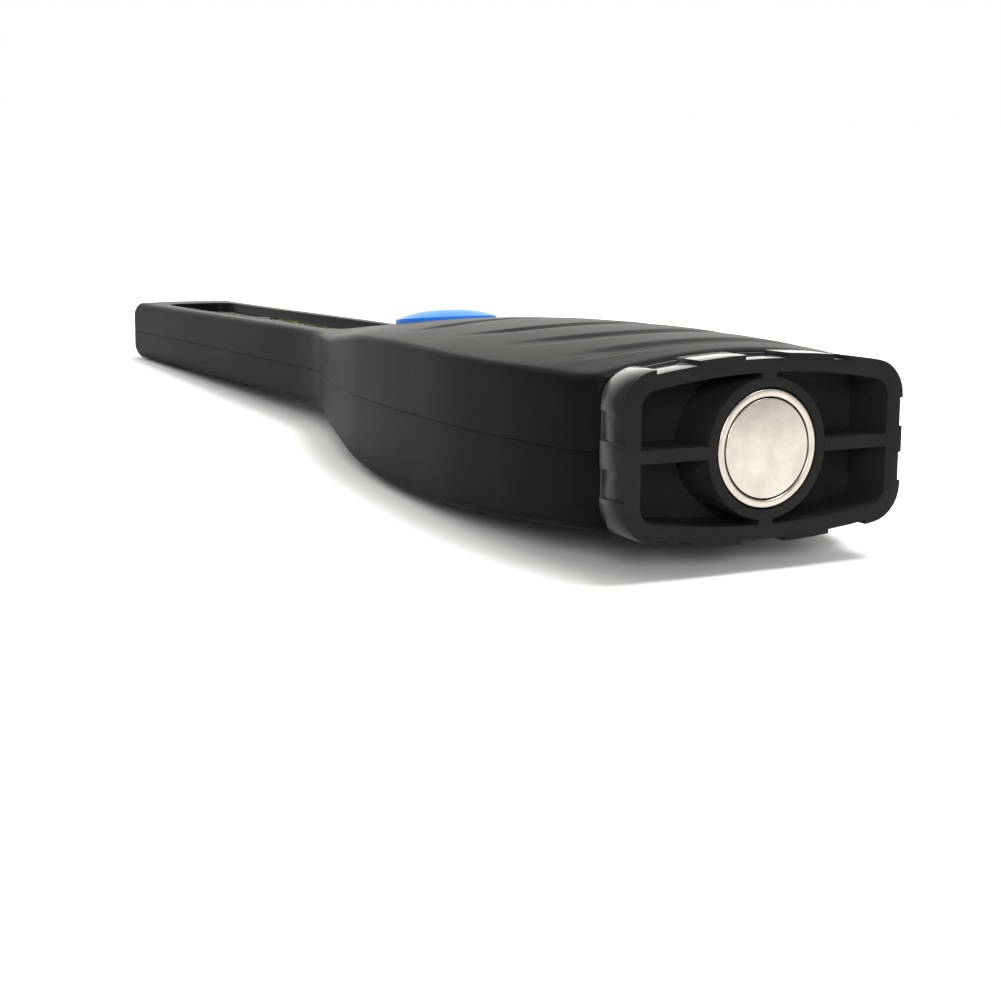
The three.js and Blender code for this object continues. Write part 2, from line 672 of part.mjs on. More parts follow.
cellXs.forEach((x, i) => {
  const facing = i === 1 ? -1 : 1;
  const { shape, base } = cell(x, facing);
  add(`battery_${i + 1}`, shape, cellJacket());
  const seat = facing > 0 ? rearContact : frontContact;
  const clear = SPRING.wire + GAP;
  const spring = new ConeHelix(x, seat + facing * clear, base - facing * clear);
  add(`contact_spring_${i + 1}`, wire(spring, SPRING.wire, 30, 5), springSteel());
});

// A contact plate that spans from one cell to another, or covers a single cell.
function contactPlate(firstX, lastX, station) {
  const low = CELL_HEIGHT - CONTACT_HALF;
  const high = CELL_HEIGHT + CONTACT_HALF;
  return box(firstX - CONTACT_HALF, station, low, lastX + CONTACT_HALF, station + CONTACT_THICK, high);
}

const rearPlates = insideFrom + GAP;
const frontPlates = insideTo - GAP - CONTACT_THICK;
add("contact_bridge_rear", contactPlate(cellXs[0], cellXs[1], rearPlates), nickel());
add("contact_plate_rear", contactPlate(cellXs[2], cellXs[2], rearPlates), nickel());
add("contact_plate_front", contactPlate(cellXs[0], cellXs[0], frontPlates), nickel());
add("contact_bridge_front", contactPlate(cellXs[1], cellXs[2], frontPlates), nickel());

// ---- leads ----

function lead(points) {
  const curve = new THREE.CatmullRomCurve3(points.map((p) => new THREE.Vector3(...p)));
  return wire(curve, LEAD_RADIUS, 14, 6);
}

// The battery's leads run to the driver board, and the board's other leads run on to the LED board.
const boardUnderside = TOP_CROWN(BUTTON_STATION) + boardTop - BOARD_THICK - 2;
const leadColours = { red: [-1, redInsulation], black: [1, blackInsulation] };
for (const [colour, [side, insulation]] of Object.entries(leadColours)) {
  const fromBattery = [[15, 79, 2], [14, 84, 0], [10, 92, -3], [8, 101, boardUnderside]];
  const toLeds = [[4, 124, boardUnderside - 0.4], [4, 132, -4], [4, 140, -3.4], [4, 148, -0.6]];
  const onSide = (points) => points.map(([x, y, z]) => [side * x, y, z]);
  add(`battery_lead_${colour}`, lead(onSide(fromBattery)), insulation());
  add(`led_lead_${colour}`, lead(onSide(toLeds)), insulation());
}

// ---- screws ----

for (const { name, x, y, head, tip } of SCREW_PLACES) {
  const profile = [
    [0, head], [SCREW_HEAD_RADIUS, head], [SCREW_HEAD_RADIUS, head + SCREW_HEAD_HEIGHT],
    [SCREW_RADIUS, head + SCREW_HEAD_HEIGHT], [SCREW_RADIUS, tip - SCREW_POINT], [0, tip],
  ];
  add(`screw_${name}`, turned(profile, 16).translate(x, y, 0), steel());
}

// ---- hanging hook ----

// Drawn as it lies folded: the pivot at the top, the bend towards the handle.
function hookOutline() {
  const bar = HOOK_HALF - HOOK_BAR;
  const bend = -HOOK_BEND;
  const shape = new THREE.Shape();
  shape.moveTo(HOOK_HALF, 0);
  shape.lineTo(-HOOK_HALF, 0);
  shape.lineTo(-HOOK_HALF, -HOOK_ROOT + 1);
  shape.lineTo(-HOOK_HALF + 1, -HOOK_ROOT);
  shape.lineTo(bar, -HOOK_ROOT);
  shape.lineTo(bar, bend);
  shape.absarc(0, bend, bar, 0, -Math.PI, true);
  shape.lineTo(-bar, -HOOK_POINT - HOOK_BAR / 2);
  shape.absarc(-bar - HOOK_BAR / 2, -HOOK_POINT - HOOK_BAR / 2, HOOK_BAR / 2, 0, Math.PI, false);
  shape.lineTo(-HOOK_HALF, bend);
  shape.absarc(0, bend, HOOK_HALF, Math.PI, Math.PI * 2, false);
  shape.lineTo(HOOK_HALF, 0);
  return shape;
}

const hookGroup = new THREE.Group();
hookGroup.position.set(0, HOOK_PIVOT.y, HOOK_PIVOT.z);
light.add(hookGroup);
const hookPlate = upwards(hookOutline(), HOOK_TOP - HOOK_THICK, HOOK_TOP);
const hookSolid = joined(hookPlate, crossways(KNUCKLE_RADIUS, HOOK_HALF, 0, 0, 20))
  .subtract(solid(crossways(PIN_RADIUS + 0.2, HOOK_HALF + 1, 0, 0, 16)));
add("hook", hookSolid, greyPlastic(), hookGroup);
add("hook_pin", crossways(PIN_RADIUS, PIN_HALF, 0, 0, 16), steel(), hookGroup);

export default light;
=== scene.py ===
"""A handheld work light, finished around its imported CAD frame.

The shells, end cap, magnet, button, screws and hook are made again here as fine meshes; the pieces
inside keep their CAD shapes and get materials. Lengths are millimetres in the light's own
coordinates, and PLACE turns them into the frame's metres:
    x  across the light
    y  the station: distance from the front plane of the end cap's rim, towards the tip
    z  the height above the parting plane, where the front and rear shells meet
"""

import math
from bisect import bisect_right
from collections import Counter
from dataclasses import dataclass

import bmesh
import bpy
from mathutils import Matrix, Vector
from mathutils.geometry import delaunay_2d_cdt


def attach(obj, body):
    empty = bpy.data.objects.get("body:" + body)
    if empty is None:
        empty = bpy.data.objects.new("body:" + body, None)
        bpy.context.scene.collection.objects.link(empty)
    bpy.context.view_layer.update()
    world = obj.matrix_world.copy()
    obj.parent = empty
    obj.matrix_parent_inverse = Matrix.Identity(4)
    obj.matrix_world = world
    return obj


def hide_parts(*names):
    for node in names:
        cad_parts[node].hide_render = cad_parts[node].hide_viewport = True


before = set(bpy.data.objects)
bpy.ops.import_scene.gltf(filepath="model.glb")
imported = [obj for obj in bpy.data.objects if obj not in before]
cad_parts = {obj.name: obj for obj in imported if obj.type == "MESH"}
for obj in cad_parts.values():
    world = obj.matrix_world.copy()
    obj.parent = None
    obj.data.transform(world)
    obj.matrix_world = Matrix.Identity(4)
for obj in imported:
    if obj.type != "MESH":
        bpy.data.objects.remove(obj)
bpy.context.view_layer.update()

# ---- driving dimensions ----

LENGTH = 280
BELLY = 17.5  # depth of the handle's belly below the parting plane
GAP = 0.3  # play between pieces that fit into each other
WALL = 2.2
MM = 0.001  # a millimetre in the frame's metres
PLACE = Matrix.Scale(MM, 4) @ Matrix.Translation((0, -LENGTH / 2, BELLY))


def through_knots(knots):
    """A smooth curve through (place, value) knots that never overshoots them."""
    places = [place for place, _ in knots]
    pairs = list(zip(knots, knots[1:]))
    secants = [(v1 - v0) / (p1 - p0) for (p0, v0), (p1, v1) in pairs]
    slopes = [0.0]
    for before, after in zip(secants, secants[1:]):
        slopes.append(2 * before * after / (before + after) if before * after > 0 else 0.0)
    slopes.append(0.0)

    def value(place):
        at = max(0, min(len(pairs) - 1, bisect_right(places, place) - 1))
        (p0, v0), (p1, v1) = pairs[at]
        step = p1 - p0
        t = max(0.0, min(1.0, (place - p0) / step))
        bend = t * (1 - t) * step * (slopes[at] * (1 - t) - slopes[at + 1] * t)
        return v0 + (v1 - v0) * t * t * (3 - 2 * t) + bend

    return value


def smooth(low, high, value):
    """A step from 0 at low to 1 at high, level at both ends."""
    t = max(0.0, min(1.0, (value - low) / (high - low)))
    return t * t * (3 - 2 * t)


def quarter_turns(count):
    """Angles from 0 to a quarter turn."""
    return [math.pi / 2 * i / count for i in range(count + 1)]


# Housing: half-width, and the crown, shoulder and edge radius of its top and bottom, by station
BODY_END = 8.3
HALF_WIDTH = through_knots([
    (8, 28.6), (13, 30.5), (20, 31.6), (33, 32.7), (47, 33), (72, 31.5), (100, 28.4),
    (115, 25.3), (126, 22.6), (138, 18.7), (147, 15.6), (154, 14.4), (165, 14), (280, 14),
])
TOP_CROWN = through_knots([
    (8, 16.1), (20, 17), (45, 17.5), (70, 17), (90, 15.9), (115, 13.7), (141, 10.8), (158, 9.3),
    (180, 9), (280, 8.2),
])
TOP_SHOULDER = through_knots([
    (8, 12.4), (14, 12.3), (22, 12.6), (50, 12.7), (66, 12.9), (80, 12.9), (98, 12.4), (117, 10.8),
    (130, 9.6), (150, 9), (180, 8.8), (280, 8),
])
BOTTOM_CROWN = through_knots([
    (8, 15.3), (29, 16.4), (66, BELLY), (92, 16.4), (107, 14.7), (122, 12), (137, 9.4), (155, 8.5),
    (280, 7.8),
])
BOTTOM_SHOULDER = through_knots([
    (8, 12.9), (20, 13.3), (34, 14), (46, 14.6), (66, 15.4), (80, 15.3), (92, 14.5), (107, 12.8),
    (122, 10.3), (137, 8.6), (155, 7.9), (280, 7.3),
])
EDGE_RADIUS = through_knots([(8, 2.8), (22, 2.1), (36, 1.5), (280, 1.5)])
LEAST_EDGE_RADIUS = 0.8
EDGE_SHARE = 0.8  # the most of the shoulder's height that the rounded edge may take
CAP_END_ROUND = 2.2
SOCKET_TO = 14  # the end cap's plug fits a wider hollow up to here
SOCKET_WALL = 1.6
TIP_CORNER = 1.5  # round of the tip's corners seen from above
TIP_ROUND = 5  # round of the tip's edges seen from the side
PARTING = 0.02  # each shell stops this far from the parting plane
PARTING_ROUND = 0.12
ARM_CEILING = through_knots([(124, 17), (134, 6.2), (280, 6.2)])  # height of the hollow

# Finger grooves: each starts to sink before its lip, drops at it, stays level and comes up again
GROOVES = [14.5, 29.6, 49, 77.5]  # stations of their lips
GROOVE_DEPTH = 0.5
GROOVE_LEAD = 1.2
GROOVE_LEAD_SHARE = 0.34  # how much of the depth is reached before the lip
GROOVE_LIP = 0.7
GROOVE_FLAT = 2.4
GROOVE_RISE = 3
GROOVE_FADE = (15, 26)  # they run out between these distances from the middle
GROOVE_BOW = through_knots([
    (10.6, 0), (12, 0.0075), (16, 0.0075), (30, 0.017), (50, 0.02), (64, 0.015), (78, 0.006),
    (104, 0),
])
BOW_REACH = 25  # the rows stop bowing this far from the middle

WINDOW = (-9.4, 141, 9.4, 265)  # left, near, right and far edge
WINDOW_CORNER = 4
WINDOW_ROUND = 0.35
POCKET_HALF = 9.4  # the hook's pocket in the back, and the gap between the tip's prongs
POCKET_FROM = 236.8
POCKET_CORNER = 3
POCKET_CEILING = -2.9
POCKET_ROUND = 0.5
NOTCH_FROM = 275.5
SOLID_TIP_FROM = 268
SOLID_BACK_FROM = 230
SOLID_RUN_IN = 2  # the shells' inside turns from hollow to solid over this length

BUTTON_STATION = 115
BUTTON_TILT = math.radians(-6)
BUTTON_RADIUS = 10.9
BUTTON_DOME = 2.2
BUTTON_RIM = 0.6
BUTTON_HOLE_ROUND = 0.5

# Each case screw's place across, station, and the heights of its head and its point
SCREWS = {
    "left_handle": (-20.5, 89, -11.4, 6),
    "right_handle": (20.5, 89, -11.4, 6),
    "left_neck": (-13, 136.6, -6.9, 4.5),
    "right_neck": (13, 136.6, -6.9, 4.5),
}
SCREW_HEAD_RADIUS = 2.6
SCREW_HEAD_HEIGHT = 2
SCREW_RADIUS = 1.3
SCREW_POINT = 1.5
SCREW_EDGE = 0.3
SCREW_SEAT = 0.6  # plastic above a screw head's recess
SCREW_HOLE_ROUND = 0.3


# ---- the housing's sections ----

# Columns of the mesh over each part of half a section
CROWN_COLUMNS = 20
CORNER_COLUMNS = 7
SIDE_COLUMNS = 5
EDGE_COLUMNS = 3
COLUMNS = CROWN_COLUMNS + CORNER_COLUMNS + SIDE_COLUMNS + EDGE_COLUMNS


class Section:
    """Half of the housing's section: a crown, a round corner, a straight side and the parting edge.

    A column counts outwards from the middle of the crown, and is negative on the left.
    """

    def __init__(self, half, crown, shoulder, radius, edge_round):
        drop = (crown - shoulder) / half**2
        reach = half - radius
        for _ in range(5):
            lean = 2 * drop * reach
            reach = half - radius * (1 - lean / math.hypot(lean, 1))
        self.half = half
        self.crown = crown
        self.drop = drop
        self.radius = radius
        self.reach = reach
        self.sweep = math.pi / 2 - math.atan(2 * drop * reach)
        self.centre_x = reach - radius * math.cos(self.sweep)
        self.centre_z = crown - drop * reach**2 - radius * math.sin(self.sweep)
        self.edge_round = edge_round

    def at(self, column):
        """(x, height) of a column."""
        side = math.copysign(1, column)
        count = abs(column)
        if count <= CROWN_COLUMNS:
            x = self.reach * count / CROWN_COLUMNS
            return side * x, self.crown - self.drop * x * x
        count -= CROWN_COLUMNS
        if count <= CORNER_COLUMNS:
            turn = self.sweep * (1 - count / CORNER_COLUMNS)
            x = self.centre_x + self.radius * math.cos(turn)
            return side * x, self.centre_z + self.radius * math.sin(turn)
        count -= CORNER_COLUMNS
        side_end = PARTING + self.edge_round
        if count <= SIDE_COLUMNS:
            share = count / SIDE_COLUMNS
            return side * self.half, self.centre_z + (side_end - self.centre_z) * share
        turn = math.pi / 2 * (count - SIDE_COLUMNS) / EDGE_COLUMNS
        x = self.half - self.edge_round * (1 - math.cos(turn))
        return side * x, side_end - self.edge_round * math.sin(turn)

    def column_at(self, x):
        """The column above a point on the crown or the corner."""
        out = abs(x)
        if out <= self.reach:
            return x * CROWN_COLUMNS / self.reach
        turn = math.acos(min(1.0, (out - self.centre_x) / self.radius))
        count = CROWN_COLUMNS + CORNER_COLUMNS * (1 - turn / self.sweep)
        return math.copysign(count, x)


def housing_section(station, crown_at, shoulder_at, inset):
    """The top or bottom section at a station, which closes in beside the end cap and at the tip."""
    narrower = inset
    lower = inset
    into_end = (station - BODY_END) / CAP_END_ROUND
    if into_end < 1 and inset == 0:
        lost = CAP_END_ROUND / 2 * (1 - math.sqrt(max(0.0, 1 - (1 - into_end) ** 2)))
        narrower += lost
        lower += lost
    into_corner = 1 - (LENGTH - station) / TIP_CORNER
    if into_corner > 0:
        narrower += TIP_CORNER * (1 - math.sqrt(max(0.0, 1 - into_corner**2)))
    into_tip = station - (LENGTH - TIP_ROUND)
    if into_tip > 0:
        lower += TIP_ROUND - math.sqrt(max(0.0, TIP_ROUND**2 - into_tip**2))
    shoulder = shoulder_at(station) - lower
    radius = max(LEAST_EDGE_RADIUS, min(EDGE_RADIUS(station) - inset, EDGE_SHARE * shoulder))
    edge_round = PARTING_ROUND if inset == 0 else 0.0
    return Section(HALF_WIDTH(station) - narrower, crown_at(station) - lower, shoulder, radius, edge_round)


def groove_depth(row_station, x):
    """How far the grooves sink the top, where a row's station is that of its middle."""
    fade = 1 - smooth(*GROOVE_FADE, abs(x))
    depth = 0.0
    for lip in GROOVES:
        into = row_station - lip
        if into < 0:
            depth += GROOVE_LEAD_SHARE * smooth(-GROOVE_LEAD, 0, into)
        elif into < GROOVE_LIP:
            depth += GROOVE_LEAD_SHARE + (1 - GROOVE_LEAD_SHARE) * smooth(0, GROOVE_LIP, into)
        else:
            depth += 1 - smooth(0, GROOVE_RISE, into - GROOVE_LIP - GROOVE_FLAT)
    return GROOVE_DEPTH * fade * depth


# Distances between the mesh's rows
LIP_STEP = 0.17
LIP_MARGIN = 0.3  # the finest rows run this far past a lip's drop
GROOVE_MARGIN = 0.6  # and a groove's own rows start this far before its lead
TIP_MARGIN = 0.6  # least distance from a row to the first one of the tip's round
GROOVE_STEP = 0.45
END_STEP = 0.3
HANDLE_STEP = 1.1
ARM_STEP = 1.5
END_ROWS_TO = 13
HANDLE_ROWS_TO = 165
END_TURNS = 7
TIP_TURNS = 14


def row_step(at, grooved):
    """The distance from a row to the next."""
    early = GROOVE_LEAD + GROOVE_MARGIN
    past = min((at - lip for lip in GROOVES if at >= lip - early), default=LENGTH)
    if grooved and -GROOVE_LEAD < past < GROOVE_LIP + LIP_MARGIN:
        return LIP_STEP
    if grooved and past < GROOVE_LIP + GROOVE_FLAT + GROOVE_RISE:
        return GROOVE_STEP
    if at < END_ROWS_TO:
        return END_STEP
    return HANDLE_STEP if at < HANDLE_ROWS_TO else ARM_STEP


def row_stations(grooved):
    """Stations of the mesh's rows, closer together at the ends and over the grooves."""
    end_turns = quarter_turns(END_TURNS)[:-1]
    rows = [BODY_END + CAP_END_ROUND * (1 - math.cos(turn)) for turn in end_turns]
    at = BODY_END + CAP_END_ROUND
    while at < LENGTH - TIP_ROUND - TIP_MARGIN:
        rows.append(at)
        at += row_step(at, grooved)
    rows.extend(LENGTH - TIP_ROUND * (1 - math.sin(turn)) for turn in quarter_turns(TIP_TURNS))
    return rows


# ---- holes in a shell ----

ARC_STEP = 0.7  # distances between the points of a hole's outline
EDGE_STEP = 1.4
FILLET_STEPS = 5
SLOT_RUN_IN = 3  # a slot's grown outlines stop this far before its end
END_CLEAR = 0.3  # points closer than this to the end of a line are left out


def fillet_drop(radius, distance):
    """How far a rounded edge falls at a distance from the wall it turns into."""
    if distance >= radius:
        return 0.0
    return radius - math.sqrt(radius**2 - (radius - max(0.0, distance)) ** 2)


def fillet_distances(radius):
    """Distances from the wall at which a rounded edge gets points."""
    return [radius * (1 - math.cos(turn)) for turn in quarter_turns(FILLET_STEPS)]


@dataclass
class Hole:
    """A hole in a shell's skin, as a rounded rectangle in plan; a square one is round."""

    box: tuple
    corner: float
    edge_round: float
    floor: float = None  # height of a blind hole's floor
    inside: float = None  # height of the shell's inside behind a blind hole
    y_end: float = None  # a slot that runs out of the tip stops here

    def distance(self, x, y):
        """How far a point is outside the outline, and less than 0 inside it."""
        x0, y0, x1, y1 = self.box
        across = abs(x - (x0 + x1) / 2) - (x1 - x0) / 2 + self.corner
        along = abs(y - (y0 + y1) / 2) - (y1 - y0) / 2 + self.corner
        outside = math.hypot(max(across, 0), max(along, 0))
        return outside + min(max(across, along), 0) - self.corner

    def ring(self, grow):
        """Points of the outline grown by a distance, and whether it is closed."""
        x0, y0, x1, y1 = self.box
        radius = self.corner + grow
        arc = max(6, round(radius * math.pi / 2 / ARC_STEP))
        left = x0 + self.corner
        right = x1 - self.corner
        near = y0 + self.corner
        far = y1 - self.corner
        points = []
        for quarter, (cx, cy) in enumerate([(right, far), (left, far), (left, near), (right, near)]):
            for i in range(arc + 1):
                turn = math.pi / 2 * (quarter + i / arc)
                points.append((cx + radius * math.cos(turn), cy + radius * math.sin(turn)))
        points = spaced(points, EDGE_STEP)
        if self.y_end is None:
            return points, True
        return slot_points(points, self.y_end if grow == 0 else self.y_end - SLOT_RUN_IN), False


def spaced(points, step):
    """A closed outline with its long edges divided, and without repeated points."""
    made = []
    for a, b in zip(points, points[1:] + points[:1]):
        length = math.dist(a, b)
        if length < 1e-6:
            continue
        count = max(1, math.ceil(length / step))
        for i in range(count):
            t = i / count
            made.append((a[0] + (b[0] - a[0]) * t, a[1] + (b[1] - a[1]) * t))
    return made


def slot_points(points, y_end):
    """The part of an outline below y_end, from its left end round to its right end."""
    kept = [p for p in points if p[1] < y_end - END_CLEAR]
    start = max((p for p in kept if p[0] < 0), key=lambda p: p[1])
    at = kept.index(start)
    kept = kept[at:] + kept[:at]
    if kept[1][1] > start[1] - 1e-9 or kept[1][0] > 0:
        kept = [kept[0]] + kept[:0:-1]
    return [(kept[0][0], y_end)] + kept + [(kept[-1][0], y_end)]


# ---- shells ----

# How far the grid's points keep from the outlines
HOLE_CLEAR = 0.35
NOTCH_SIDE_CLEAR = 0.2
NOTCH_END_CLEAR = 0.4
SLOT_END_CLEAR = 3.5
SCREW_CLEAR = 1.8
SCREW_RINGS = [0.8, 1.4]  # more outlines around a screw's hole
RAISED_REACH = 0.9  # the inside is raised over a blind hole and this far around it
NOTCH_POINTS = 12
LEAST_WALL = 0.5  # of the solid tip's inner points


class Shell:
    """One closed shell: a fine outer skin over a grid of rows and columns, with holes in it.

    side is 1 for the front shell and -1 for the rear one. The skin is triangulated in the grid's own
    columns and rows, where it is regular however the rows bow.
    """

    def __init__(self, side, crown_at, shoulder_at, holes, solid_from, grooved):
        self.side = side
        self.crown_at = crown_at
        self.shoulder_at = shoulder_at
        self.holes = holes
        self.solid_from = solid_from
        self.grooved = grooved
        self.rows = row_stations(grooved)
        self.places = []  # (column, row) of each point
        self.plans = []  # (x, station)
        self.skin = []  # its place on the outside
        self.inner = []  # and the one behind it on the inside
        self.edges = []  # pairs of points that must be joined

    def section(self, station, inset=0):
        return housing_section(station, self.crown_at, self.shoulder_at, inset)

    def row_at(self, station):
        """The row, with a fraction, at a station."""
        at = max(0, min(len(self.rows) - 2, bisect_right(self.rows, station) - 1))
        return at + (station - self.rows[at]) / (self.rows[at + 1] - self.rows[at])

    def add_point(self, row, column, station, groove):
        x, height = self.section(station).at(column)
        height -= groove
        raised = None
        for hole in self.holes:
            distance = hole.distance(x, station)
            height -= fillet_drop(hole.edge_round, distance)
            if hole.inside is not None and distance < RAISED_REACH:
                raised = hole.inside
        self.places.append(Vector((column, row)))
        self.plans.append((x, station))
        self.skin.append(Vector((x, station, self.side * height)))
        self.inner.append(self.inner_point(column, x, station, raised))
        return len(self.places) - 1

    def inner_point(self, column, x, station, raised):
        """The point on the shell's inside behind a column, which is flat where the tip is solid."""
        wall = SOCKET_WALL if station <= SOCKET_TO else WALL
        inner_x, height = self.section(station, wall).at(column)
        height = min(height, ARM_CEILING(station))
        beyond = max(0.0, abs(column) - CROWN_COLUMNS) / (COLUMNS - CROWN_COLUMNS)
        outer = self.section(station)
        spread = min(abs(x), outer.reach) + (outer.half - LEAST_WALL - outer.reach) * beyond
        solid = smooth(self.solid_from, self.solid_from + SOLID_RUN_IN, station)
        flat_x = math.copysign(spread, x)
        point = Vector((inner_x, station, height)).lerp(Vector((flat_x, station, PARTING)), solid)
        if raised is not None and solid < 1:
            point = Vector((x, station, min(point.z, raised)))
        point.z *= self.side
        return point

    def in_notch(self, x, y):
        return abs(x) < POCKET_HALF and y > NOTCH_FROM

    def near_hole(self, x, y):
        """Whether a grid point would be too close to a hole or the tip's notch."""
        if abs(abs(x) - POCKET_HALF) < NOTCH_SIDE_CLEAR and y > NOTCH_FROM - END_CLEAR:
            return True
        if abs(x) < POCKET_HALF and y > NOTCH_FROM - NOTCH_END_CLEAR:
            return True
        for hole in self.holes:
            clear = hole.edge_round + HOLE_CLEAR
            if hole.y_end is not None and y > hole.y_end - SLOT_END_CLEAR:
                clear = NOTCH_SIDE_CLEAR
            if hole.inside is not None:
                clear = SCREW_CLEAR
            if hole.distance(x, y) < clear:
                return True
        return False

    def add_grid(self):
        for row, middle in enumerate(self.rows):
            for column in range(-COLUMNS, COLUMNS + 1):
                x = self.section(middle).at(column)[0]
                station = middle
                groove = 0.0
                if self.grooved:
                    station += GROOVE_BOW(middle) * min(abs(x), BOW_REACH) ** 2
                    groove = groove_depth(middle, x)
                if not self.near_hole(x, station):
                    self.add_point(row, column, station, groove)

    def add_line(self, points, closed=False):
        """A line of points on the skin that the triangles must follow."""
        added = []
        for x, station in points:
            column = self.section(station).column_at(x)
            added.append(self.add_point(self.row_at(station), column, station, 0))
        self.edges.extend(zip(added, added[1:]))
        if closed:
            self.edges.append((added[-1], added[0]))

    def add_holes(self):
        for hole in self.holes:
            distances = fillet_distances(hole.edge_round)
            if hole.inside is not None:
                distances += SCREW_RINGS
            for grow in distances:
                self.add_line(*hole.ring(grow))
        if not any(hole.y_end for hole in self.holes):
            stations = [NOTCH_FROM] + [row for row in self.rows if row > NOTCH_FROM + END_CLEAR]
            for x in (-POCKET_HALF, POCKET_HALF):
                self.add_line([(x, station) for station in stations])
        across = [POCKET_HALF * (2 * i / NOTCH_POINTS - 1) for i in range(1, NOTCH_POINTS)]
        self.add_line([(x, NOTCH_FROM) for x in across])

    def build(self):
        """The closed shell as a bmesh."""
        self.add_grid()
        self.add_holes()
        _, _, triangles, origins, _, _ = delaunay_2d_cdt(self.places, self.edges, [], 0, 1e-6)
        source = [origin[0] if origin else None for origin in origins]
        bm = bmesh.new()
        skin = {}
        floors = {}
        inner = {}
        floor_edges = Counter()

        def vertex(store, key, position):
            if key not in store:
                store[key] = bm.verts.new(position)
            return store[key]

        for triangle in triangles:
            points = [source[i] for i in triangle]
            if None in points or len(set(points)) < 3:
                continue
            x = sum(self.plans[p][0] for p in points) / 3
            y = sum(self.plans[p][1] for p in points) / 3
            hole = next((hole for hole in self.holes if hole.distance(x, y) < 0), None)
            if self.in_notch(x, y) or (hole is not None and hole.floor is None):
                continue
            if hole is None:
                face = [vertex(skin, p, self.skin[p]) for p in points]
            else:
                face = [vertex(floors, p, (*self.skin[p].xy, hole.floor)) for p in points]
                floor_edges.update(frozenset(pair) for pair in zip(points, points[1:] + points[:1]))
            bm.faces.new(face)
            back = [vertex(inner, p, self.inner[p]) for p in points]
            bm.faces.new(back[::-1])
        for (a, b), count in floor_edges.items():
            if count == 1 and a in skin and b in skin and bm.edges.get((skin[a], skin[b])):
                bm.faces.new([skin[a], skin[b], floors[b], floors[a]])
        self.close_edges(bm, skin, floors, inner)
        bmesh.ops.recalc_face_normals(bm, faces=bm.faces)
        return bm

    def close_edges(self, bm, skin, floors, inner):
        """Joins the outer skin to the inside wherever the skin ends."""
        behind = {v: inner[p] for store in (skin, floors) for p, v in store.items()}
        open_edges = [e for e in bm.edges if e.is_boundary and e.verts[0] in behind]
        for edge in open_edges:
            a, b = edge.verts
            corners = [a, b, behind[b], behind[a]]
            if behind[a] == behind[b]:
                corners.pop()
            bm.faces.new(corners)


# ---- small solids ----

MERGE_DISTANCE = 0.004
FLAT_ANGLE = math.radians(0.5)  # faces that turn less than this become one
SHARP_ANGLE = math.radians(35)  # edges that turn more than this are rounded
SHADE_ANGLE = math.radians(36)  # and those that turn more than this look sharp


def section_outline(half, top, bottom, radius):
    """The outline of a crowned, round-edged solid, seen along the light, counter-clockwise."""
    corner = range(CROWN_COLUMNS + CORNER_COLUMNS, CROWN_COLUMNS, -1)
    columns = [*corner, *range(CROWN_COLUMNS, -1, -2)]
    sections = [Section(half, crown, shoulder, radius, 0) for crown, shoulder in (top, bottom)]
    upper, lower = [[section.at(column) for column in columns] for section in sections]
    return [
        *upper,
        *[(-x, z) for x, z in upper[-2::-1]],
        *[(-x, -z) for x, z in lower],
        *[(x, -z) for x, z in lower[-2::-1]],
    ]


def prism(outline, y0, y1):
    """An outline in x and z, made solid from one station to another."""
    bm = bmesh.new()
    rings = [[bm.verts.new((x, y, z)) for x, z in outline] for y in (y0, y1)]
    for a, b in zip(range(len(outline)), [*range(1, len(outline)), 0]):
        bm.faces.new([rings[0][a], rings[0][b], rings[1][b], rings[1][a]])
    bm.faces.new(rings[0])
    bm.faces.new(rings[1][::-1])
    bmesh.ops.recalc_face_normals(bm, faces=bm.faces)
    return bm


def block(x0, y0, z0, x1, y1, z1):
    """A box from its lowest corner to its highest one."""
    return prism([(x0, z0), (x1, z0), (x1, z1), (x0, z1)], y0, y1)


def turned(profile, segments=96):
    """A round solid turned about z from (radius, height) points that start and end on the axis."""
    bm = bmesh.new()
    turns = [2 * math.pi * i / segments for i in range(segments)]
    rings = []
    for radius, height in profile:
        around = [(radius * math.cos(t), radius * math.sin(t), height) for t in turns]
        rings.append([bm.verts.new(place) for place in (around if radius else around[:1])])
    for low, high in zip(rings, rings[1:]):
        for i in range(segments):
            j = (i + 1) % segments
            corners = [low[i % len(low)], low[j % len(low)], high[j % len(high)], high[i % len(high)]]
            bm.faces.new(list(dict.fromkeys(corners)))
    bmesh.ops.recalc_face_normals(bm, faces=bm.faces)
    return bm


def rounded(profile, radius, steps=4):
    """A profile with its corners rounded, apart from its ends."""
    points = [Vector(point) for point in profile]
    made = []
    for before, corner, after in zip(points, points[1:], points[2:]):
        a = before - corner
        b = after - corner
        cut = min(radius, a.length * 0.45, b.length * 0.45)
        start = corner + a.normalized() * cut
        end = corner + b.normalized() * cut
        for i in range(steps + 1):
            t = i / steps
            made.append(start * (1 - t) ** 2 + corner * 2 * t * (1 - t) + end * t**2)
    return [profile[0], *map(tuple, made), profile[-1]]


ALONG = Matrix.Rotation(-math.pi / 2, 4, "X")  # turns a piece's height to run along the light


def rod(radius, low, high, segments=96):
    """A cylinder about z."""
    return turned([(0, low), (radius, low), (radius, high), (0, high)], segments)


def cylinder(radius, y0, y1):
    """A cylinder along the light, about its axis."""
    bm = rod(radius, y0, y1)
    bm.transform(ALONG)
    return bm


def as_object(bm, name="tool"):
    mesh = bpy.data.meshes.new(name)
    bm.to_mesh(mesh)
    bm.free()
    made = bpy.data.objects.new(name, mesh)
    bpy.context.scene.collection.objects.link(made)
    return made


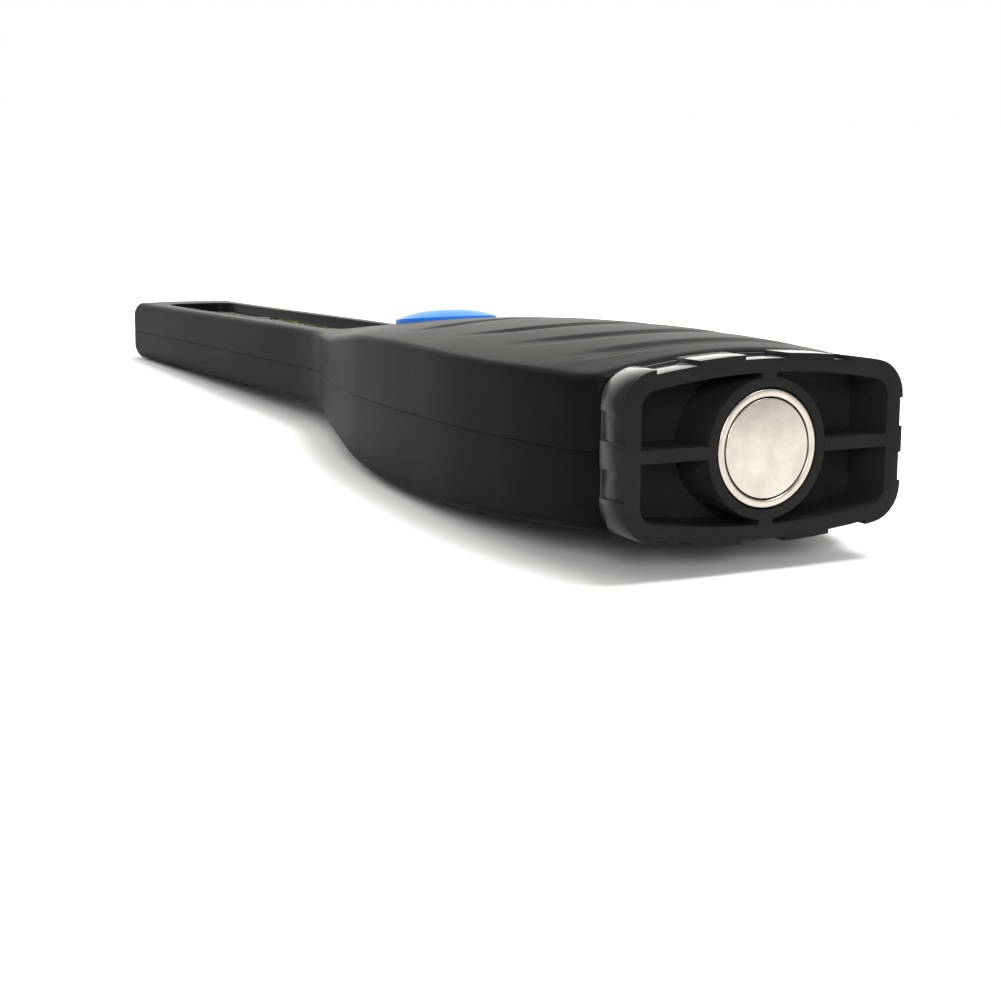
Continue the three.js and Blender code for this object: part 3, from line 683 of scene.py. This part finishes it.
def combined(base, steps):
    """A bmesh after a list of ("UNION" or "DIFFERENCE", bmesh) steps."""
    target = as_object(base)
    tools = []
    for operation, bm in steps:
        tool = as_object(bm)
        modifier = target.modifiers.new(operation, "BOOLEAN")
        modifier.operation = operation
        modifier.solver = "EXACT"
        modifier.object = tool
        tools.append(tool)
    evaluated = target.evaluated_get(bpy.context.evaluated_depsgraph_get())
    result = bmesh.new()
    result.from_mesh(evaluated.to_mesh())
    for used in [target, *tools]:
        bpy.data.meshes.remove(used.data)
    bmesh.ops.remove_doubles(result, verts=result.verts, dist=MERGE_DISTANCE)
    bmesh.ops.dissolve_limit(result, angle_limit=FLAT_ANGLE, verts=result.verts, edges=result.edges)
    return result


def soften(bm, width):
    """Rounds the sharp edges."""
    paired = [edge for edge in bm.edges if len(edge.link_faces) == 2]
    sharp = [edge for edge in paired if edge.calc_face_angle(0) > SHARP_ANGLE]
    bmesh.ops.bevel(
        bm, geom=sharp, offset=width, segments=2, profile=0.5, affect="EDGES",
        clamp_overlap=True, harden_normals=False,
    )
    return bm


# ---- materials ----


def remapped(tree, factor, between, to):
    """A factor moved from one range to another."""
    node = tree.nodes.new("ShaderNodeMapRange")
    tree.links.new(factor, node.inputs["Value"])
    for name, value in zip(("From Min", "From Max", "To Min", "To Max"), (*between, *to)):
        node.inputs[name].default_value = value
    return node.outputs["Result"]


class Finish:
    """A material with a Principled BSDF and helpers for the textures that drive it."""

    def __init__(self, name):
        self.material = bpy.data.materials.new(name)
        self.material.use_nodes = True
        self.tree = self.material.node_tree
        self.nodes = self.tree.nodes
        self.links = self.tree.links
        self.shader = self.nodes["Principled BSDF"]
        self.place = self.nodes.new("ShaderNodeTexCoord").outputs["Object"]

    def set(self, **values):
        """Plain values for the shader's sockets, named with _ for each space."""
        for name, value in values.items():
            self.shader.inputs[name.replace("_", " ")].default_value = value

    def noise(self, size, detail=3.0, roughness=0.55, stretch=None):
        """Noise whose features are about size millimetres across."""
        node = self.nodes.new("ShaderNodeTexNoise")
        node.inputs["Scale"].default_value = 1 / (size * MM)
        node.inputs["Detail"].default_value = detail
        node.inputs["Roughness"].default_value = roughness
        source = self.place
        if stretch:
            mapping = self.nodes.new("ShaderNodeMapping")
            mapping.inputs["Scale"].default_value = stretch
            self.links.new(source, mapping.inputs["Vector"])
            source = mapping.outputs["Vector"]
        self.links.new(source, node.inputs["Vector"])
        return node.outputs["Fac"]

    def ramp(self, factor, stops):
        """Colours or greys by factor, from (place, colour) stops."""
        node = self.nodes.new("ShaderNodeValToRGB")
        self.links.new(factor, node.inputs["Fac"])
        elements = node.color_ramp.elements
        while len(elements) < len(stops):
            elements.new(0.5)
        for element, (place, colour) in zip(elements, stops):
            element.position = place
            grey = (colour,) * 3 if isinstance(colour, (int, float)) else colour
            element.color = (*grey, 1)
        return node.outputs["Color"]

    def mixed(self, factor, socket, colour):
        """A socket's colour that turns into a plain one."""
        node = self.nodes.new("ShaderNodeMix")
        node.data_type = "RGBA"
        self.links.new(factor, node.inputs["Factor"])
        self.links.new(socket, node.inputs[6])
        node.inputs[7].default_value = (*colour, 1)
        return node.outputs[2]

    def colour(self, socket):
        self.links.new(socket, self.shader.inputs["Base Color"])

    def mottle(self, size, detail, dark, light, spread=0.2):
        """A colour that wanders between two in patches about size millimetres across."""
        stops = [(0.5 - spread, dark), (0.5 + spread, light)]
        self.colour(self.ramp(self.noise(size, detail), stops))

    def drive(self, socket, factor, between, to):
        """Drives one of the shader's sockets by a factor."""
        self.links.new(remapped(self.tree, factor, between, to), self.shader.inputs[socket])

    def roughness(self, factor, low, high):
        self.drive("Roughness", factor, (0.3, 0.7), (low, high))

    def bump(self, height, depth):
        """A bump of about depth millimetres."""
        node = self.nodes.new("ShaderNodeBump")
        node.inputs["Distance"].default_value = depth * MM
        self.links.new(height, node.inputs["Height"])
        self.links.new(node.outputs["Normal"], self.shader.inputs["Normal"])


def moulded(name, colour, roughness, spread=0.25, grain=0.25, depth=0.02, specular=0.5, wear_and_highlight=0.0,
            sheen=0.05):
    """Moulded plastic or rubber: mottled colour and a fine grain.

    spread is how far the colour wanders and sheen how far the roughness does. The convex edges are
    made lighter by the given amount: partly rubbed wear and partly a painted highlight.
    """
    finish = Finish(name)
    dark = tuple(c * (1 - spread) for c in colour)
    light = tuple(c * (1 + spread) for c in colour)
    base = finish.ramp(finish.noise(9, detail=4), [(0.35, dark), (0.65, light)])
    # Convex edges, found by pointiness, are painted lighter: partly rubbed wear, partly a painted
    # highlight.
    if wear_and_highlight:
        outside_edges = finish.nodes.new("ShaderNodeNewGeometry").outputs["Pointiness"]
        lighter_edge_mask = finish.ramp(outside_edges, [(0.52, 0.0), (0.6, wear_and_highlight)])
        base = finish.mixed(lighter_edge_mask, base, tuple(min(1.0, c * 3 + 0.03) for c in colour))
    finish.colour(base)
    finish.roughness(finish.noise(22, detail=2), roughness - sheen, roughness + sheen)
    finish.bump(finish.noise(grain, detail=2), depth)
    finish.set(Specular_IOR_Level=specular)
    return finish.material


def metal(name, colour, roughness, scuff=0.5, depth=0.004):
    """Plated or bare metal with faint mottling and fine scuffs."""
    finish = Finish(name)
    dull = tuple(c * 0.86 for c in colour)
    tarnish = finish.noise(5, detail=6, roughness=0.65)
    finish.colour(finish.ramp(tarnish, [(0.38, dull), (0.6, colour)]))
    scratches = finish.noise(2.5, detail=3, stretch=(1, 1, 3))
    finish.roughness(scratches, roughness - 0.1 * scuff, roughness + 0.1 * scuff)
    finish.bump(finish.noise(1.6, detail=5), depth)
    finish.set(Metallic=1.0)
    return finish.material


def soft_touch():
    """The housing's matt black soft-touch rubber."""
    return moulded(
        "soft_touch_rubber", (0.0042, 0.0044, 0.0042), roughness=0.4, spread=0.1, grain=0.22,
        depth=0.003, specular=0.022, sheen=0.012,
    )


def cap_plastic():
    """Satin black plastic that turns glossy at a grazing angle."""
    finish = Finish("satin_black_plastic")
    finish.mottle(9, 4, (0.0115, 0.0117, 0.0112), (0.014, 0.0143, 0.0137), 0.15)
    finish.bump(finish.noise(0.3, detail=2), 0.003)
    glance = finish.nodes.new("ShaderNodeLayerWeight")
    glance.inputs["Blend"].default_value = 0.5
    glancing = (0.42, 0.93)
    finish.drive("Roughness", glance.outputs["Facing"], glancing, (0.34, 0.12))
    finish.drive("Specular IOR Level", glance.outputs["Facing"], glancing, (0.03, 0.7))
    return finish.material


def blue_button():
    """Satin light blue plastic."""
    finish = Finish("blue_button_plastic")
    finish.mottle(6, 3, (0.018, 0.15, 0.6), (0.022, 0.17, 0.66))
    finish.roughness(finish.noise(9, detail=2), 0.3, 0.34)
    finish.bump(finish.noise(0.3, detail=2), 0.004)
    finish.set(Specular_IOR_Level=0.05)
    return finish.material


def clear_lens():
    """The window's clear cover."""
    finish = Finish("clear_window")
    finish.mottle(20, 3, (0.93, 0.96, 0.94), (0.97, 0.98, 0.97))
    finish.roughness(finish.noise(4, detail=5), 0.03, 0.07)
    finish.set(IOR=1.49, Transmission_Weight=1.0, Alpha=0.5)
    return finish.material


def phosphor():
    """The yellow-green phosphor over the LED chips, with the chips' faint pattern."""
    chip_pitch = 2.4
    finish = Finish("led_phosphor")
    wave = finish.nodes.new("ShaderNodeTexWave")
    wave.bands_direction = "Y"
    wave.inputs["Scale"].default_value = 1 / (chip_pitch * MM) / 6
    wave.inputs["Distortion"].default_value = 0.4
    finish.links.new(finish.place, wave.inputs["Vector"])
    stops = [(0.2, (0.44, 0.37, 0.03)), (0.8, (0.52, 0.46, 0.07))]
    finish.colour(finish.ramp(wave.outputs["Fac"], stops))
    finish.roughness(finish.noise(2), 0.4, 0.5)
    finish.bump(wave.outputs["Fac"], 0.08)
    return finish.material


def circuit_board():
    """Green solder mask over faint copper tracks."""
    finish = Finish("green_circuit_board")
    tracks = finish.nodes.new("ShaderNodeTexBrick")
    tracks.inputs["Scale"].default_value = 1 / (9 * MM)
    tracks.inputs["Mortar Size"].default_value = 0.03
    tracks.inputs["Color1"].default_value = (0.012, 0.1, 0.035, 1)
    tracks.inputs["Color2"].default_value = (0.012, 0.12, 0.04, 1)
    tracks.inputs["Mortar"].default_value = (0.05, 0.24, 0.08, 1)
    finish.links.new(finish.place, tracks.inputs["Vector"])
    finish.colour(tracks.outputs["Color"])
    finish.roughness(finish.noise(3), 0.3, 0.4)
    finish.bump(tracks.outputs["Fac"], 0.03)
    return finish.material


def cell_jacket():
    """A cell's plain slate-blue wrap."""
    finish = Finish("cell_wrap")
    finish.mottle(14, 3, (0.03, 0.055, 0.09), (0.04, 0.07, 0.11), 0.15)
    finish.roughness(finish.noise(5), 0.28, 0.36)
    finish.bump(finish.noise(1.2), 0.01)
    finish.set(Metallic=0.3)
    return finish.material


# The finish of each of the record's material slots
MATERIALS = {
    "shell": soft_touch(),
    "cap_plastic": cap_plastic(),
    "seal_rubber": moulded("black_seal_rubber", (0.01, 0.01, 0.01), 0.75),
    "magnet_nickel": metal("magnet_nickel", (0.55, 0.505, 0.44), 0.24, scuff=0.2, depth=0.001),
    "button_plastic": blue_button(),
    "white_plastic": moulded("white_plastic", (0.78, 0.78, 0.75), 0.4, spread=0.04),
    "switch_plastic": moulded("switch_plastic", (0.03, 0.03, 0.032), 0.45),
    "board": circuit_board(),
    "board_aluminium": metal("board_aluminium", (0.78, 0.78, 0.77), 0.4),
    "phosphor": phosphor(),
    "lens": clear_lens(),
    "cell_jacket": cell_jacket(),
    "contact_metal": metal("nickel_contacts", (0.76, 0.74, 0.7), 0.28),
    "red_insulation": moulded("red_insulation", (0.45, 0.02, 0.015), 0.4, spread=0.1),
    "black_insulation": moulded("black_insulation", (0.015, 0.015, 0.015), 0.4, spread=0.1),
    "screw_steel": metal("screw_steel", (0.42, 0.42, 0.41), 0.32),
    # The hook's convex edges are painted lighter, partly as wear and partly as a painted highlight.
    "hook_plastic": moulded(
        "grey_hook_plastic", (0.1, 0.105, 0.1), 0.42, spread=0.15, grain=0.3, depth=0.015, wear_and_highlight=0.2,
    ),
}


# ---- pieces ----


def piece(name, bm, slot, body, *nodes):
    """Shows a bmesh as a piece that rides on a body and stands for CAD nodes."""
    bm.transform(PLACE)
    made = as_object(bm, name)
    made.data.shade_smooth()
    made.data.set_sharp_from_angle(angle=SHADE_ANGLE)
    made.data.materials.append(MATERIALS[slot])
    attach(made, body)
    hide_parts(*nodes)


def round_hole(x, y, radius, edge_round, floor=None, inside=None):
    return Hole((x - radius, y - radius, x + radius, y + radius), radius, edge_round, floor, inside)


def make_front_shell():
    holes = [
        Hole(WINDOW, WINDOW_CORNER, WINDOW_ROUND),
        round_hole(0, BUTTON_STATION, BUTTON_RADIUS + GAP, BUTTON_HOLE_ROUND),
    ]
    shell = Shell(1, TOP_CROWN, TOP_SHOULDER, holes, SOLID_TIP_FROM, True)
    piece("front_shell_skin", shell.build(), "shell", "housing", "front_shell")


def make_rear_shell():
    pocket = (-POCKET_HALF, POCKET_FROM, POCKET_HALF, LENGTH + 20)
    holes = [Hole(pocket, POCKET_CORNER, POCKET_ROUND, floor=POCKET_CEILING, y_end=LENGTH)]
    for x, y, head, _ in SCREWS.values():
        floor = head + SCREW_HEAD_HEIGHT + GAP
        inside = -floor - SCREW_SEAT
        holes.append(round_hole(x, y, SCREW_HEAD_RADIUS + GAP, SCREW_HOLE_ROUND, floor, inside))
    shell = Shell(-1, BOTTOM_CROWN, BOTTOM_SHOULDER, holes, SOLID_BACK_FROM, False)
    piece("rear_shell_skin", shell.build(), "shell", "housing", "rear_shell")


# Where the end cap's flange, plug, pockets and the floor behind them end
CAP_FLANGE = 6.9
CAP_PLUG_TO = 14
CAP_POCKET = 10
CAP_FLOOR_TO = 12
CAP_EDGE_ROUND = 0.22
# Sections: half-width, crown and shoulder of the top, the same of the bottom, edge radius
CAP_BLOCK = (28.75, (15.9, 13), (16, 13.3), 6.5)
CAP_NOTCH = (28.2, (15.1, 12.4), (15.3, 12.7), 6.5)
CAP_POCKETS = (25.3, (12.8, 10.3), (12.8, 10.6), 3)
CAP_PLUG = (26.4, (13.9, 10.8), (13.2, 11.1), 4.6)
CAP_SKIRT_INSIDE = (24.9, (12.4, 9.4), (11.7, 9.7), 3.4)
# The rim's notches: their ends across the top and bottom, and up the sides
TOP_NOTCHES = [(-22.5, -14), (-5, 3.9), (13.3, 16.6)]
BOTTOM_NOTCHES = [(-22.1, -15.1), (-4.7, 4), (13.4, 21.5)]
SIDE_NOTCHES = [(-7.2, -2.3), (2.3, 7.2)]
RIB_ACROSS = 2.2
RIB_UP = 2.8
BOSS_RADIUS = 12
BOSS_RECESS = 0.1  # the boss and the magnet are this far behind the rim's plane
MAGNET_RADIUS = 10
MAGNET_DEPTH = 7
MAGNET_BACK = 1.6  # thickness of the cup's bottom
MAGNET_DISC_RADIUS = 8.5
MAGNET_RING_GAP = 0.2
MAGNET_DISC_SINK = 0.06
MAGNET_CUP_EDGE = 0.3
MAGNET_DISC_EDGE = 0.18
CUT = 1  # cutting solids run this far past what they cut
LAP = 0.5  # solids that are joined run at least this far into each other


def cap_prism(section, y0, y1):
    return prism(section_outline(*section), y0, y1)


def cap_notches():
    """Steps that cut the notches through the rim, from inside it to well outside."""
    outside = 40
    from_middle = 5
    from_side = CAP_NOTCH[0] - 2
    boxes = [(x0, from_middle, x1, outside) for x0, x1 in TOP_NOTCHES]
    boxes += [(x0, -outside, x1, -from_middle) for x0, x1 in BOTTOM_NOTCHES]
    for x0, x1 in ((-outside, -from_side), (from_side, outside)):
        boxes += [(x0, z0, x1, z1) for z0, z1 in SIDE_NOTCHES]
    return [
        ("DIFFERENCE", block(x0, -CUT, z0, x1, CAP_FLANGE + CUT, z1)) for x0, z0, x1, z1 in boxes
    ]


def make_end_cap():
    blocks = combined(cap_prism(CAP_BLOCK, 0, CAP_FLANGE), cap_notches())
    half, top, bottom, _ = CAP_POCKETS
    ribs_to = CAP_FLOOR_TO - LAP
    steps = [
        ("UNION", blocks),
        ("UNION", cap_prism(CAP_PLUG, CAP_FLANGE - 2 * LAP, CAP_PLUG_TO)),
        ("DIFFERENCE", cap_prism(CAP_POCKETS, -CUT, CAP_POCKET)),
        ("DIFFERENCE", cap_prism(CAP_SKIRT_INSIDE, CAP_FLOOR_TO, CAP_PLUG_TO + CUT)),
        ("UNION", block(-half - 2 * LAP, 0, -RIB_ACROSS / 2, half + 2 * LAP, ribs_to, RIB_ACROSS / 2)),
        ("UNION", block(-RIB_UP / 2, 0, -bottom[0] - LAP, RIB_UP / 2, ribs_to, top[0] + LAP)),
        ("DIFFERENCE", cylinder(BOSS_RADIUS - 0.05, -CUT, BOSS_RECESS + 2)),
        ("UNION", cylinder(BOSS_RADIUS, BOSS_RECESS, CAP_FLOOR_TO - 0.6)),
        ("DIFFERENCE", cylinder(MAGNET_RADIUS + GAP, -CUT, BOSS_RECESS + MAGNET_DEPTH + GAP)),
    ]
    cap = combined(cap_prism(CAP_NOTCH, 0, CAP_FLANGE), steps)
    piece("end_cap_moulding", soften(cap, CAP_EDGE_ROUND), "cap_plastic", "cap", "end_cap")


def make_magnet():
    floor = MAGNET_DEPTH - MAGNET_BACK
    inside = MAGNET_DISC_RADIUS + MAGNET_RING_GAP
    cup = rounded([
        (0, floor), (inside, floor), (inside, 0), (MAGNET_RADIUS, 0), (MAGNET_RADIUS, MAGNET_DEPTH),
        (0, MAGNET_DEPTH),
    ], MAGNET_CUP_EDGE)
    disc_radius = MAGNET_DISC_RADIUS - MAGNET_DISC_SINK
    disc = rounded([
        (0, MAGNET_DISC_SINK), (disc_radius, MAGNET_DISC_SINK), (disc_radius, floor - GAP),
        (0, floor - GAP),
    ], MAGNET_DISC_EDGE)
    parts = [("magnet_cup_ring", cup, "magnet_cup"), ("magnet_face", disc, "magnet_disc")]
    for name, profile, node in parts:
        bm = turned(profile, 128)
        bm.transform(Matrix.Translation((0, BOSS_RECESS, 0)) @ ALONG)
        piece(name, bm, "magnet_nickel", "cap", node)


# Heights are from the housing's top at the button's middle
BUTTON_BOTTOM = -4.6
BUTTON_FLANGE_TOP = -3.4
BUTTON_FLANGE = 1.3  # the flange that keeps the button in is this much wider
BUTTON_EDGE = 0.5  # width of the slope between the side and the dome
BUTTON_EDGE_DROP = 0.15
BUTTON_EDGE_ROUND = 0.7
DOME_STEPS = 18
DOME_POWER = 2.6  # a higher one is flatter in the middle and steeper at the rim


def make_button():
    dome = []
    for i in range(DOME_STEPS + 1):
        share = 1 - i / DOME_STEPS
        rise = (BUTTON_DOME - BUTTON_RIM) * (1 - share**DOME_POWER)
        dome.append(((BUTTON_RADIUS - BUTTON_EDGE) * share, BUTTON_RIM + rise))
    flange = BUTTON_RADIUS + BUTTON_FLANGE
    skirt = [
        (0, BUTTON_BOTTOM), (flange, BUTTON_BOTTOM), (flange, BUTTON_FLANGE_TOP),
        (BUTTON_RADIUS, BUTTON_FLANGE_TOP), (BUTTON_RADIUS, BUTTON_RIM - BUTTON_EDGE_DROP), dome[0],
    ]
    profile = [*rounded(skirt, BUTTON_EDGE_ROUND, 6)[:-1], *dome]
    bm = turned(profile, 128)
    seat = Matrix.Translation((0, BUTTON_STATION, TOP_CROWN(BUTTON_STATION)))
    bm.transform(seat @ Matrix.Rotation(BUTTON_TILT, 4, "X"))
    piece("blue_button_cap", bm, "button_plastic", "button", "switch_button")


# The cross in a screw's head: half of an arm's length and width, and its depth
CROSS_REACH = 1.5
CROSS_HALF = 0.32
CROSS_DEPTH = 1.2


def make_screws():
    for name, (x, y, head, tip) in SCREWS.items():
        under = head + SCREW_HEAD_HEIGHT
        profile = rounded([
            (0, head), (SCREW_HEAD_RADIUS, head), (SCREW_HEAD_RADIUS, under), (SCREW_RADIUS, under),
            (SCREW_RADIUS, tip - SCREW_POINT), (0, tip),
        ], SCREW_EDGE)
        cross = [
            ("DIFFERENCE", block(-a, -b, head - CUT, a, b, head + CROSS_DEPTH))
            for a, b in ((CROSS_REACH, CROSS_HALF), (CROSS_HALF, CROSS_REACH))
        ]
        bm = combined(turned(profile, 48), cross)
        bm.transform(Matrix.Translation((x, y, 0)))
        piece(f"screw_{name}_cross", bm, "screw_steel", "housing", f"screw_{name}")


# The hook, folded away; its own lengths are from its pin
HOOK_PIVOT = (273, -5.4)  # station and height
HOOK_HALF = 9
HOOK_THICK = 3.4
HOOK_TOP = 1.4
HOOK_ROOT = 12  # the plate is whole up to here
HOOK_BEND = 26  # centre of the bend
HOOK_BAR = 4  # width of the bar
HOOK_POINT = 21  # where the bar's round end starts
HOOK_EDGE_ROUND = 0.35
KNUCKLE_RADIUS = 2.2
PIN_RADIUS = 0.95
PIN_EDGE = 0.2
PIN_PLAY = 0.2
PIN_HALF = 13.2
FLAT = Matrix(((1, 0, 0, 0), (0, 0, 1, 0), (0, 1, 0, 0), (0, 0, 0, 1)))  # swaps length and height


def arc(cx, cy, radius, start, end, steps):
    """Points of an arc between two angles in degrees."""
    turns = [math.radians(start + (end - start) * i / steps) for i in range(steps + 1)]
    return [(cx + radius * math.cos(t), cy + radius * math.sin(t)) for t in turns]


def make_hook():
    bar = HOOK_HALF - HOOK_BAR
    tip_y = -HOOK_POINT - HOOK_BAR / 2
    outline = [
        (HOOK_HALF, 0), (-HOOK_HALF, 0), (-HOOK_HALF, -HOOK_ROOT + 1), (-HOOK_HALF + 1, -HOOK_ROOT),
        (bar, -HOOK_ROOT),
        *arc(0, -HOOK_BEND, bar, 0, -180, 18),
        *arc(-bar - HOOK_BAR / 2, tip_y, HOOK_BAR / 2, 0, 180, 8),
        *arc(0, -HOOK_BEND, HOOK_HALF, 180, 360, 24),
    ]
    plate = prism(outline, HOOK_TOP - HOOK_THICK, HOOK_TOP)
    plate.transform(FLAT)
    bmesh.ops.recalc_face_normals(plate, faces=plate.faces)
    across = Matrix.Rotation(math.pi / 2, 4, "Y")
    knuckle = rod(KNUCKLE_RADIUS, -HOOK_HALF, HOOK_HALF, 48)
    bore = rod(PIN_RADIUS + PIN_PLAY, -HOOK_HALF - CUT, HOOK_HALF + CUT, 32)
    knuckle.transform(across)
    bore.transform(across)
    bm = soften(combined(plate, [("UNION", knuckle), ("DIFFERENCE", bore)]), HOOK_EDGE_ROUND)
    seat = Matrix.Translation((0, *HOOK_PIVOT))
    bm.transform(seat)
    piece("folding_hook", bm, "hook_plastic", "hanger", "hook")
    ends = [(0, -PIN_HALF), (PIN_RADIUS, -PIN_HALF), (PIN_RADIUS, PIN_HALF), (0, PIN_HALF)]
    pin = turned(rounded(ends, PIN_EDGE), 32)
    pin.transform(seat @ across)
    piece("hook_hinge_pin", pin, "screw_steel", "housing", "hook_pin")


make_front_shell()
make_rear_shell()
make_end_cap()
make_magnet()
make_button()
make_screws()
make_hook()

# The nodes that keep their CAD shape, by the record's slot that they take their finish from
KEPT = {
    "seal_rubber": ["end_cap_seal", "lens_gasket"],
    "white_plastic": ["switch_plunger"],
    "switch_plastic": ["switch_body"],
    "board": ["driver_board"],
    "board_aluminium": ["led_board", "led_reflector"],
    "phosphor": ["cob_strip"],
    "lens": ["window_lens"],
    "cap_plastic": ["battery_carrier"],
    "cell_jacket": ["battery_1", "battery_2", "battery_3"],
    "contact_metal": [
        "contact_spring_1", "contact_spring_2", "contact_spring_3", "contact_bridge_rear",
        "contact_plate_rear", "contact_plate_front", "contact_bridge_front",
    ],
    "red_insulation": ["battery_lead_red", "led_lead_red"],
    "black_insulation": ["battery_lead_black", "led_lead_black"],
}
for slot_name, nodes in KEPT.items():
    for node in nodes:
        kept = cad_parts[node]
        kept.data.materials.clear()
        kept.data.materials.append(MATERIALS[slot_name])


# ---- stage, light and camera ----

FLOOR_LEVEL = -0.068  # y, in metres, where the floor is at the height of the belly's lowest point
FLOOR_SLOPE = 0.0477  # it rises towards the tip, so that the light rests on its belly and its tip
FLOOR_HALF = 5
BACKDROP_SIDE = (0.4, 0.86, 0.3)  # the backdrop is brightest in this direction
BACKDROP_TINT = (1.0, 0.985, 0.93)
BACKDROP_LEVELS = (0.6, 2.35)
BACKDROP_SPREAD = (0.1, 0.95)  # cosines of the angles from it at which each level is reached

# Each sun's direction, strength and width in degrees
SUNS = {
    "overhead": ((0.3, -0.1, 1), 3.5, 30),
    "fill": ((-0.45, -0.85, 0.35), 1.8, 20),
}

CAMERA_PLACE = (-0.19757, -0.39966, 0.06216)
CAMERA_TURN = math.radians(-29.47)
CAMERA_DOWN = math.radians(9.3)
CAMERA_ROLL = math.radians(0.47)
CAMERA_LENS = 70.45  # for a sensor 36 mm wide
CAMERA_SHIFT = (-0.0013, -0.0049)


def make_floor():
    """A plain pale floor, tilted so that the light rests on it."""
    bm = bmesh.new()
    far = FLOOR_HALF
    corners = [(-far, -far), (far, -far), (far, far), (-far, far)]
    bm.faces.new([bm.verts.new((x, y, FLOOR_SLOPE * (y - FLOOR_LEVEL))) for x, y in corners])
    floor = as_object(bm, "floor")
    finish = Finish("pale_floor")
    finish.mottle(60, 3, 0.78, 0.8)
    finish.set(Roughness=0.9, Specular_IOR_Level=0.1)
    floor.data.materials.append(finish.material)


def make_world():
    """White all round to look at; as light it is brightest behind and above, like a lit backdrop."""
    world = bpy.data.worlds.new("studio")
    world.use_nodes = True
    nodes = world.node_tree.nodes
    links = world.node_tree.links
    direction = nodes.new("ShaderNodeTexCoord").outputs["Generated"]
    dot = nodes.new("ShaderNodeVectorMath")
    dot.operation = "DOT_PRODUCT"
    dot.inputs[1].default_value = Vector(BACKDROP_SIDE).normalized()
    links.new(direction, dot.inputs[0])
    lit = nodes["Background"]
    level = remapped(world.node_tree, dot.outputs["Value"], BACKDROP_SPREAD, BACKDROP_LEVELS)
    links.new(level, lit.inputs["Strength"])
    lit.inputs["Color"].default_value = (*BACKDROP_TINT, 1)
    seen = nodes.new("ShaderNodeBackground")
    seen.inputs["Color"].default_value = (1, 1, 1, 1)
    ray = nodes.new("ShaderNodeLightPath")
    mix = nodes.new("ShaderNodeMixShader")
    links.new(ray.outputs["Is Camera Ray"], mix.inputs["Fac"])
    links.new(lit.outputs["Background"], mix.inputs[1])
    links.new(seen.outputs["Background"], mix.inputs[2])
    links.new(mix.outputs["Shader"], nodes["World Output"].inputs["Surface"])
    bpy.context.scene.world = world


def make_light():
    for name, (side, energy, width) in SUNS.items():
        sun = bpy.data.lights.new(name, "SUN")
        sun.energy = energy
        sun.angle = math.radians(width)
        lamp = bpy.data.objects.new(name, sun)
        lamp.rotation_euler = Vector(side).to_track_quat("Z", "Y").to_euler()
        bpy.context.scene.collection.objects.link(lamp)
    bpy.context.scene.view_settings.view_transform = "Standard"


def make_camera():
    """Looks along the light from beside its end cap."""
    data = bpy.data.cameras.new("camera")
    data.sensor_width = 36
    data.lens = CAMERA_LENS
    data.shift_x, data.shift_y = CAMERA_SHIFT
    data.clip_start = 0.01
    camera = bpy.data.objects.new("camera", data)
    bpy.context.scene.collection.objects.link(camera)
    turn = Matrix.Rotation(CAMERA_TURN, 4, "Z")
    tilt = Matrix.Rotation(math.pi / 2 - CAMERA_DOWN, 4, "X")
    roll = Matrix.Rotation(CAMERA_ROLL, 4, "Z")
    camera.matrix_world = Matrix.Translation(CAMERA_PLACE) @ turn @ tilt @ roll
    bpy.context.scene.camera = camera


make_floor()
make_world()
make_light()
make_camera()
